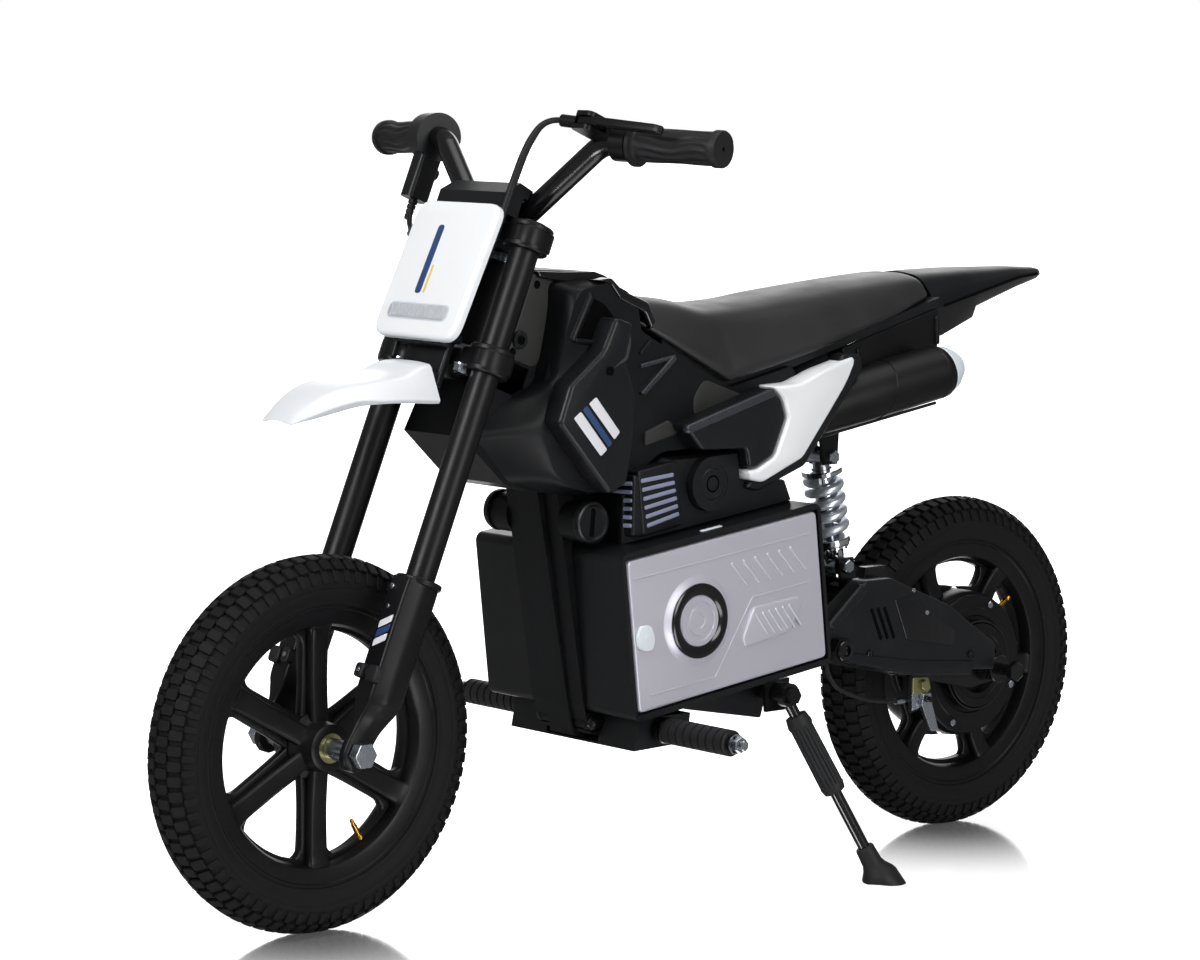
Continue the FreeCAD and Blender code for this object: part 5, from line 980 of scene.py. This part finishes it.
# The latch is a pale shield round its pin
LATCH = [(120.5, 10.5), (106.1, 8.8), (102, -4.7), (106, -16), (116.3, -16), (125, -10.1), (126, -1)]
pin = lathe([(112, 3.05), (113.4, 3.05), (113.6, 2.4), (113.6, 0.02)], (113, 0, -3), LEFT, boxed, 24)
piece("door_latch_cap", [plate(LATCH, 5, 109.8, 113, 1.2, boxed), pin], pale_abs, "latch", ["door_latch"])

# %% [markdown]
# ## Rear end
# Swing arm covers, silencers and the wound spring.

# %% Swing covers and silencers
SWING_COVER = [(-156, 69), (-216, 112), (-254, 112), (-344, 76), (-377, 54), (-414, 31), (-414, 2),
               (-246, 14), (-186, 32), (-156, 32)]
piece("swing_cover_shells", both([plate(SWING_COVER, 5, 64.2, 86, 4)]), abs_black, "swing",
      ["swing_covers"])
# Painted shade: the vents are near-black bars on the cover, not openings
vents = [bar((x - 7, 51), (x + 7, 81), 4.4, 85.6, 86.2, 0.2) for x in (-231, -240.5, -250)]
piece("swing_cover_vents", both(vents), dark_hole, "swing")

SILENCER_FROM, SILENCER_TO = np.array((-166, 90, 291)), np.array((-318, 90, 325))
silencer_way = (SILENCER_TO - SILENCER_FROM) / np.linalg.norm(SILENCER_TO - SILENCER_FROM)
below = np.cross(silencer_way, LEFT)
below = -below * np.sign(below[2])
# How far the can's front leans in, and where the can ends along its axis
CAN_LEAN = np.array((0, -32.0, 0))
CAN_END = 149


def slanted_can():
    """A can cut along the panel's edge: along = front + share (end - front), leaned in by (1 - share)."""
    turn = circle(72)
    front = -10 + 0.9 * 27 * np.cos(turn)
    share = np.array([0, 0, 0.02, 0.1, 0.2, 0.3, 0.4, 0.5, 0.505, 0.52, 0.525, 0.93, 0.935, 0.95, 0.955,
                      0.985, 1, 1])
    radius = np.array([6, 25, 26, 26.6, 27.2, 27.6, 28, 28, 27.2, 27.2, 28, 28, 27.2, 27.2, 28, 27.6, 26.2,
                       24.5])
    along = front + share[:, None] * (CAN_END - front)
    rays = spokes(turn, -below, np.array(LEFT))
    inward = (1 - share)[:, None, None] * CAN_LEAN
    return skin(bike(SILENCER_FROM + along[..., None] * silencer_way + radius[:, None, None] * rays + inward))


WEB = [(-196, 298), (-192, 350.4), (-250, 365.4), (-333, 386.6), (-333, 349), (-330, 330)]
shapes = [slanted_can(), plate(WEB, 4, 63.5, 67.5, 1.5), bar((-214, 346), (-219, 322), 7, 66, 70.5, 2),
          bar((-330, 376), (-331, 352), 6, 66, 70, 2)]
piece("silencer_cans", both(shapes), alloy, "chassis", ["silencers"], slot="black_plastic")
tip = [(144, 22), (149.2, 25.4), (150.6, 25.8), (160, 23), (172, 15.4), (176, 10.6), (175.4, 8), (156, 11),
       (144, 12)]
piece("silencer_tips", both([lathe(tip, SILENCER_FROM, silencer_way, sides=64, closed=True)]), pale_abs)


def under_can(along, depth):
    """Points along the can's leaning axis, lowered by a depth."""
    return SILENCER_FROM + along * silencer_way + (CAN_END - 10 - along) / CAN_END * CAN_LEAN + below * depth


# A thin guard rod runs below each can on three clips
rod_line = under_can(np.linspace(-6, 138, 30)[:, None], 31)
clips = [tube([under_can(along, 25), under_can(along, 31.5)], 2.2, ref=LEFT) for along in (16, 56, 96)]
piece("silencer_rods", both([tube(rod_line, 1.7, ref=LEFT)] + clips), abs_black)

# %% Tail
# Behind mid-wheelbase, underside and half width, waist and half width, top
TAIL = [(-337, 362, 55, 383, 58, 423), (-354, 356, 53, 387, 56, 424), (-409, 372.7, 45, 397, 48, 425),
        (-416, 384, 43, 398.5, 47, 425), (-500, 402, 24, 411.5, 27, 424), (-545, 409, 11, 413.5, 12.5, 422),
        (-556, 411.5, 5, 414.5, 6.5, 420)]
upper, lower = [], []
for x, low, low_half, waist, half, top in TAIL:
    rise = top - waist
    high = rounded([(-half, waist), (half, waist), (0.93 * half, waist + 0.35 * rise),
                    (0.62 * half, top - 0.12 * rise), (0, top), (-0.62 * half, top - 0.12 * rise),
                    (-0.93 * half, waist + 0.35 * rise)], [1, 1, 9, 14, 14, 14, 9], 6)
    deep = rounded([(-low_half, low), (low_half, low), (half + 1, waist), (half - 3, waist + 2),
                    (3 - half, waist + 2), (-half - 1, waist)], [3, 3, 1, 1, 1, 1], 5)
    upper.append(stand_at(x, high))
    lower.append(stand_at(x, deep))
piece("tail_top_shell", [skin(bike(upper))], abs_body, "chassis", ["tail_cover"], slot="gloss_black",
      sharp=40)
piece("tail_side_band", [skin(bike(lower))], abs_gloss)
# Painted shade: the grooves are near-black tubes laid along the tail
groove = [(row[0], row[4] - 0.3, row[3] + 1.5) for row in TAIL[1:-1]]
piece("tail_grooves", both([tube(groove, 1.4)]), dark_hole, slot="gloss_black")

# %% Spring
SHOCK_LOW = np.array((-255, 0, 117))
SHOCK_WAY = np.array((25, 0, 116)) / math.hypot(25, 116)
coils, coil_radius, wire = 4.6, 16.4, 5.0
sweep = np.linspace(0, 1, 320)
axis, first, second = basis(SHOCK_WAY)
# Closed end coils: the pitch starts and ends flat
climb = np.interp(sweep, [0, 0.1, 0.9, 1], [0, 0.045, 0.955, 1])
along = 35 + climb * 58.5
angle = 2 * np.pi * coils * sweep
helix = SHOCK_LOW + axis * along[:, None] + coil_radius * spokes(angle, first, second)
# Painted light: the coil is coloured brighter than the other zinc so that it looks lit
spring = piece("shock_coil", [tube(helix, wire, sides=20, ref=SHOCK_WAY)], spring_painted_light, "shock_lower",
               ["shock_spring"], sharp=80)
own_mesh(spring)

# Spring seat above, castellated collar and chromed sleeve below
seat_disc = [(98.7, 11), (98.7, 20.5), (99.6, 21.6), (103.4, 21.6), (104.4, 20.5), (104.4, 11)]
damper = [(50, 6), (50, 10), (51, 10.8), (98.7, 10.8), (98.7, 6)]
piece("spring_seat", [lathe(seat_disc, SHOCK_LOW, SHOCK_WAY, sides=48, closed=True),
                      lathe(damper, SHOCK_LOW, SHOCK_WAY, sides=48, closed=True)], chrome, "shock_upper")
collar = [(19, 11), (19, 17.5), (20, 18.4), (22, 18.4), (22.6, 17), (24, 17), (24.6, 20), (29, 20),
          (29.8, 19), (29.8, 11)]
shapes = [lathe(collar, SHOCK_LOW, SHOCK_WAY, sides=48, closed=True)]
knob = [(0, 2.4), (4, 2.4), (4.4, 2), (4.4, 0.02)]
spots = SHOCK_LOW + SHOCK_WAY * 17.4 + 16.6 * spokes(circle(12), first, second)
shapes += [lathe(knob, spot, SHOCK_WAY, sides=8) for spot in spots]
sleeve = [(8, 6), (8, 10.6), (9, 11.4), (18.8, 11.4), (18.8, 6)]
shapes.append(lathe(sleeve, SHOCK_LOW, SHOCK_WAY, sides=40, closed=True))
piece("spring_collar", shapes, chrome, "shock_lower")

# %% [markdown]
# ## Pegs and stand
# Ribbed rubber sleeves; the stand's foot is cut flat by the ground.

# %% Rubbers
peg_profile = [(106.3, 7.05), (106.3, 12), (107, 12.8)]
for count in range(8):
    low = 108.5 + count * 10.6
    peg_profile += [(low, 12.9), (low + 7.6, 12.9), (low + 8.2, 11.2), (low + 9.8, 11.2), (low + 10.4, 12.9)]
peg_profile += [(194, 12.9), (194.5, 12), (194.5, 7.05)]
PEG = (75, 0, -10)
sleeve = lathe(peg_profile, PEG, sides=40, closed=True)
piece("peg_sleeve_rubbers", both([sleeve]), soft_rubber, "chassis", ["peg_sleeves"])

STAND = np.array((-75, 112, 12))
FOOT = np.array((-155, 176, -AXLE))
leg_long = np.linalg.norm(FOOT - STAND)
leg_way = (FOOT - STAND) / leg_long


def stand_sleeve():
    """Radius = base + flute (1.6 |cos 8t|^0.6 - 0.8) along the leg: a fluted sleeve between two collars."""
    axis, first, second = basis(leg_way)
    along = np.array([24, 24.4, 34, 35, 38, 42, 100, 103, 104, 111, 112, 112])
    base = np.array([8, 11, 13, 13, 11.6, 11.2, 11.6, 11.8, 12.6, 11, 9, 6.1])
    flute = np.array([0, 0, 0, 0, 0.4, 1.0, 1.0, 0.6, 0, 0, 0, 0])
    turn = circle(128)
    radius = base[:, None] + flute[:, None] * (np.abs(np.cos(8 * turn)) ** 0.6 * 1.6 - 0.8)
    rays = spokes(turn, first, second)
    return skin(bike(STAND + axis * along[:, None, None] + radius[:, :, None] * rays))


foot_profile = [(-26, 6.1), (-26, 8.6), (-24, 9.6), (-8, 10.4), (-3, 12.4), (4, 17.4), (8, 19), (30, 19),
                (30, 0.02)]
points, faces = lathe(foot_profile, STAND + leg_way * (leg_long - 15), leg_way, sides=48)
points[:, 2] = np.maximum(points[:, 2], 0)
piece("stand_rubber_set", [stand_sleeve(), (points, faces)], soft_rubber, "stand", ["stand_rubbers"],
      sharp=50)

# %% [markdown]
# ## Edges of the plain solids
# A moulded or cast piece never has a knife edge.  The CAD solids stay as they are, and a bevel modifier
# rounds what the camera sees of them.

# %% Rounded edges
soften(["dash_cover", "brake_perch", "brake_lever", "throttle_housing"], 1.6)
soften(["battery_box", "kickstand_leg", "footpegs", "brake_arm", "brake_band"], 1.2)
soften(["power_button", "mode_button"], 0.9)
soften(["right_panel", "front_axle", "rear_axle", "swing_arm"], 0.8)

# %% [markdown]
# ## Body mouldings
# The body's flank is drawn as one smooth skin from the narrow neck out to the side: each ring is a mix of
# the outline at the neck and the outline at the side.  Ribs and rims lie on it, with near-black painted shade
# for the pocket and screw holes and greyer painted highlights on blades and bevels.

# %% Flank skin
# Each row: the corner at the neck (ahead, above), then the same corner at the side
FLANK = np.array([(189, 428, 169, 419), (130, 431, 129, 426), (104, 420, 105, 415), (95, 411, 97, 406),
                  (90, 383, 91, 379), (-27, 320, -27, 317), (-120, 340, -118, 336), (-140, 292, -134, 292),
                  (-107, 224, -103, 229), (-60, 233.5, -60, 237), (-34, 257.5, -33, 261),
                  (60, 255.5, 60, 259), (112, 222, 113, 227), (150, 218, 151, 224), (206, 227, 180, 232),
                  (236, 236, 195, 244), (283, 283, 215, 291), (244, 312, 196, 314), (202, 330, 192, 340),
                  (198, 350, 190, 354), (192, 374, 186, 375), (188, 400, 178, 399)])
# Share of the way inward and share of the way outward, from the neck to the side
SWELL = [(0, 0), (0.3, 0.34), (0.6, 0.66), (0.8, 0.86), (0.93, 0.965), (1, 1)]
NECK, SIDE = 40.0, 72.2
rings = []
for inward, outward in SWELL:
    flat = rounded(FLANK[:, :2] + (FLANK[:, 2:] - FLANK[:, :2]) * inward, 9, 6)
    rings.append(np.c_[flat[:, 0], np.full(len(flat), NECK + (SIDE - NECK) * outward), flat[:, 1]])
piece("body_flank_skins", both([skin(bike(rings))]), abs_body, sharp=45)

# %% Head panel, rims and pocket
HEAD_PANEL = [(204, 436), (160, 424), (170, 398), (187, 368), (199, 346), (207.5, 345.5), (236, 357)]
piece("head_panels", both([plate(HEAD_PANEL, 4, 42, 46, 1.6)]), abs_grey)
# Painted shade: near-black dishes stand for the shadowed screw holes
holes = [lathe([(45.9, 4.2), (46.4, 3.6), (46.2, 0.02)], (x, 0, z), sides=24)
         for x, z in ((199.6, 424), (221, 372), (229, 361))]
piece("head_panel_holes", both(holes), dark_hole)
boss = [(45.5, 9), (48, 8.6), (48.8, 7.6), (48.8, 4.6), (46, 4.2)]
piece("head_panel_bosses", both([lathe(boss, (221, 0, 372), sides=32, closed=True)]), abs_black)
TOP_RIM = [(204, 437), (172, 435.5), (130, 435), (117, 431), (103, 423), (98, 413), (110, 408), (138, 420),
           (163, 424), (200, 431)]
NECK_LIP = [(146, 428), (128, 430), (114, 418), (80, 405), (70, 386), (76, 378), (86, 396), (119, 410),
            (131, 424)]
piece("neck_rims", both([plate(TOP_RIM, 2, 30, 51, 2), plate(NECK_LIP, 3, 46, 74, 3)]), abs_gloss)
# Painted shade: the pocket is a thin near-black sheet on the flank, not a recess
POCKET = [(155, 413), (176, 373), (128, 367.5), (123.5, 391), (137, 405)]
piece("pocket_floors", both([plate(POCKET, 4, 71.5, 72.6, 0.3)]), dark_hole)
ridges = [bar((155, 412), (175.5, 374), 10, 66, 75, 4.6), bar((174, 371.5), (130, 366), 5, 70, 76.5, 2.4),
          bar((90, 356.5), (78, 367.5), 3.4, 70, 75, 1.6)]
piece("flank_ridges", both(ridges), abs_body)
# Painted highlight: the V blades are coloured greyer for the light on their gloss chamfers
blades = [bar((89, 344), (47, 351), 4.4, 70, 76, 2),
          plate([(92, 318), (86, 316), (44.5, 349), (50, 352.5)], 2, 70, 77.5, 1.2)]
piece("flank_blades", both(blades), abs_painted_highlight)
LENS = [(17.7, 289), (19.9, 309), (5, 328), (-51, 308.5)]
LOW_PLATE = [(85, 279.5), (53, 290), (39, 276), (84.5, 265.5)]
piece("flank_plates", both([plate(LENS, 8, 71, 73.4, 1.0), plate(LOW_PLATE, 3, 71, 76, 2)]), abs_grey)
# Painted highlight: a greyer bar along the side cover's top edge for the light on its chamfer
piece("side_cover_bevels", both([bar((44, 282), (-66, 312), 9, 90, 96.9, 2)]), abs_painted_highlight)

# %% [markdown]
# ## Grille and clutch cover
# Lavender slats lie in a black frame that turns the corner of the engine cover.

# %% Grille
# Faces that look ahead on the bike and up on the battery box
ahead_face = swapped(bike, 1, 0, 2)
box_face = swapped(boxed, 0, 2, 1)
FRONT_GRILLE = [(36, 181), (85.6, 179), (86, 240), (38, 236)]
GRILLE = [(104, 243), (53, 251), (43, 187), (96, 179)]
frame_shapes = [plate(GRILLE, 4, 55, 87, 2.5), plate(FRONT_GRILLE, 4, 92, 108.5, 2.5, ahead_face)]
piece("grille_frames", both(frame_shapes), abs_black)
side_slats, front_slats = [], []
for share in np.linspace(0, 1, 6):
    low = np.array((89, 190)) + share * np.array((9, 44))
    high = np.array((51, 198.5)) + share * np.array((8, 39))
    side_slats.append(bar(low, high, 4.2, 86.4, 87.8, 1.0))
    front_slats.append(bar((44, 188.6 + share * 40), (82, 190.5 + share * 41), 4.2, 108, 109.4, 1.0,
                           ahead_face))
piece("grille_slats", both(side_slats + front_slats), slat_grey)
clutch = [(82, 27.5), (88, 26.8), (90.4, 24.6), (90.8, 22), (90.4, 20.4), (90.4, 15.6), (91.2, 14.8),
          (91.2, 13), (90.2, 12.2), (90.2, 9), (91, 8.4), (91, 6.8), (90, 6.2), (90, 0.02)]
piece("clutch_rings", both([lathe(clutch, (8, 0, 226), sides=64)]), abs_black)
piece("box_tab", [plate(panel((-5.5, 98), (21.6, 103)), 1.5, 82.5, 84, 0.8, box_face)], pale_abs)

# %% [markdown]
# ## Swing arm details
# A recessed bare panel, a lower facet, screws, and the plated parts of the band brake.

# %% Swing arm
RECESS = [(-257, 89), (-283, 92), (-350, 49), (-347, 33), (-276, 46)]
FACET = [(-184, 31), (-287, 7), (-374, 0), (-378, 15), (-290, 23), (-192, 40)]
piece("swing_panels", both([plate(RECESS, 3, 85, 86.9, 0.8)]), abs_gloss, "swing")
SHOULDER = [(-208, 110), (-160, 72), (-166, 64), (-219, 100)]
piece("swing_facets", both([plate(FACET, 3, 84, 89, 3), plate(SHOULDER, 3, 84, 88, 3)]), abs_black, "swing")
shapes = [lathe([(86, 4.6), (88, 4.4), (88.4, 3.4), (87, 3), (86.8, 0.02)], (x, 0, z), sides=24)
          for x, z in ((-222, 36), (-374, 22))]
piece("swing_screw_wells", both(shapes), abs_gloss, "swing")
shapes = [round_bolt((x, 86, z), LEFT, 2.4, 1.4) for x, z in ((-306, 72), (-285, 97))]
piece("swing_screws", both(shapes), zinc, "swing")
shapes = [plate([(-304, 2), (-327, 0), (-331, -12), (-326, -17), (-304, -16)], 2, 69, 70.6, 0.5),
          hex_bolt((-318, 70.4, -7), LEFT, 10, 5)]
piece("brake_adjuster", shapes, yellow_zinc, "swing")
piece("brake_lug_plate", [plate([(-304, -15), (-330, -17), (-331, -28), (-305, -34)], 2, 68.4, 69.3, 0.3)],
      zinc, "swing")
piece("cable_ferrule", [lathe([(0, 3.2), (12, 3.2), (13, 2.6), (13, 0.02)], (-279, 69.5, -21.4),
                              (-24, -1.6, -1), sides=20)], zinc, "swing")
shapes = [round_bolt((-173.5, 96, 45), LEFT, 10.5, 5, socket=6), hex_bolt((-REACH, 96, 0), LEFT, 19, 7),
          lathe([(74, 15), (77, 15), (78, 14), (78, 6)], (-REACH, 0, 0), sides=32)]
piece("pivot_and_axle_nuts", both(shapes), abs_gloss, "swing", slot="black_metal")
piece("shock_top_bolts", both([hex_bolt((-230, 17, 233), LEFT, 13, 6)]), zinc)
piece("shock_low_bolts", both([hex_bolt((-255, 17, 117), LEFT, 13, 6)]), zinc, "swing")

# %% [markdown]
# ## Underside
# Round caps close the cross tube, plated bolts end the pegs, and a skirt hangs below the box.

# %% Caps, peg bolts and skirt
cap = [(64, 20.4), (68, 20.6), (70.6, 19.6), (71.4, 17.6), (70.4, 16), (69.6, 15.4), (69.6, 0.02)]
piece("cross_tube_caps", both([lathe(cap, (146, 0, 195), sides=56)]), abs_black)
# Painted shade: a near-black bar stands for the cap's shadowed slot
piece("cap_slots", both([bar((147, 184), (145, 206), 5.4, 69, 70.2, 0.4)]), dark_hole)
bolts = [hex_bolt((75, 201, -10), LEFT, 15, 7),
         lathe([(0, 9.6), (1.4, 9.6), (1.4, 0.02)], (75, 200, -10), sides=32),
         lathe([(0, 5.2), (5, 5.2), (6, 4.2), (6, 0.02)], (75, 207, -10), sides=24)]
piece("peg_bolts", both(bolts), zinc)
SKIRT = [(36, 22), (30, 3), (-73, -16), (-82, 14), (-84, 32)]
piece("box_skirts", both([plate(SKIRT, 3, 30, 82, 2.5)]), abs_black)
print("body and swing arm dressed")
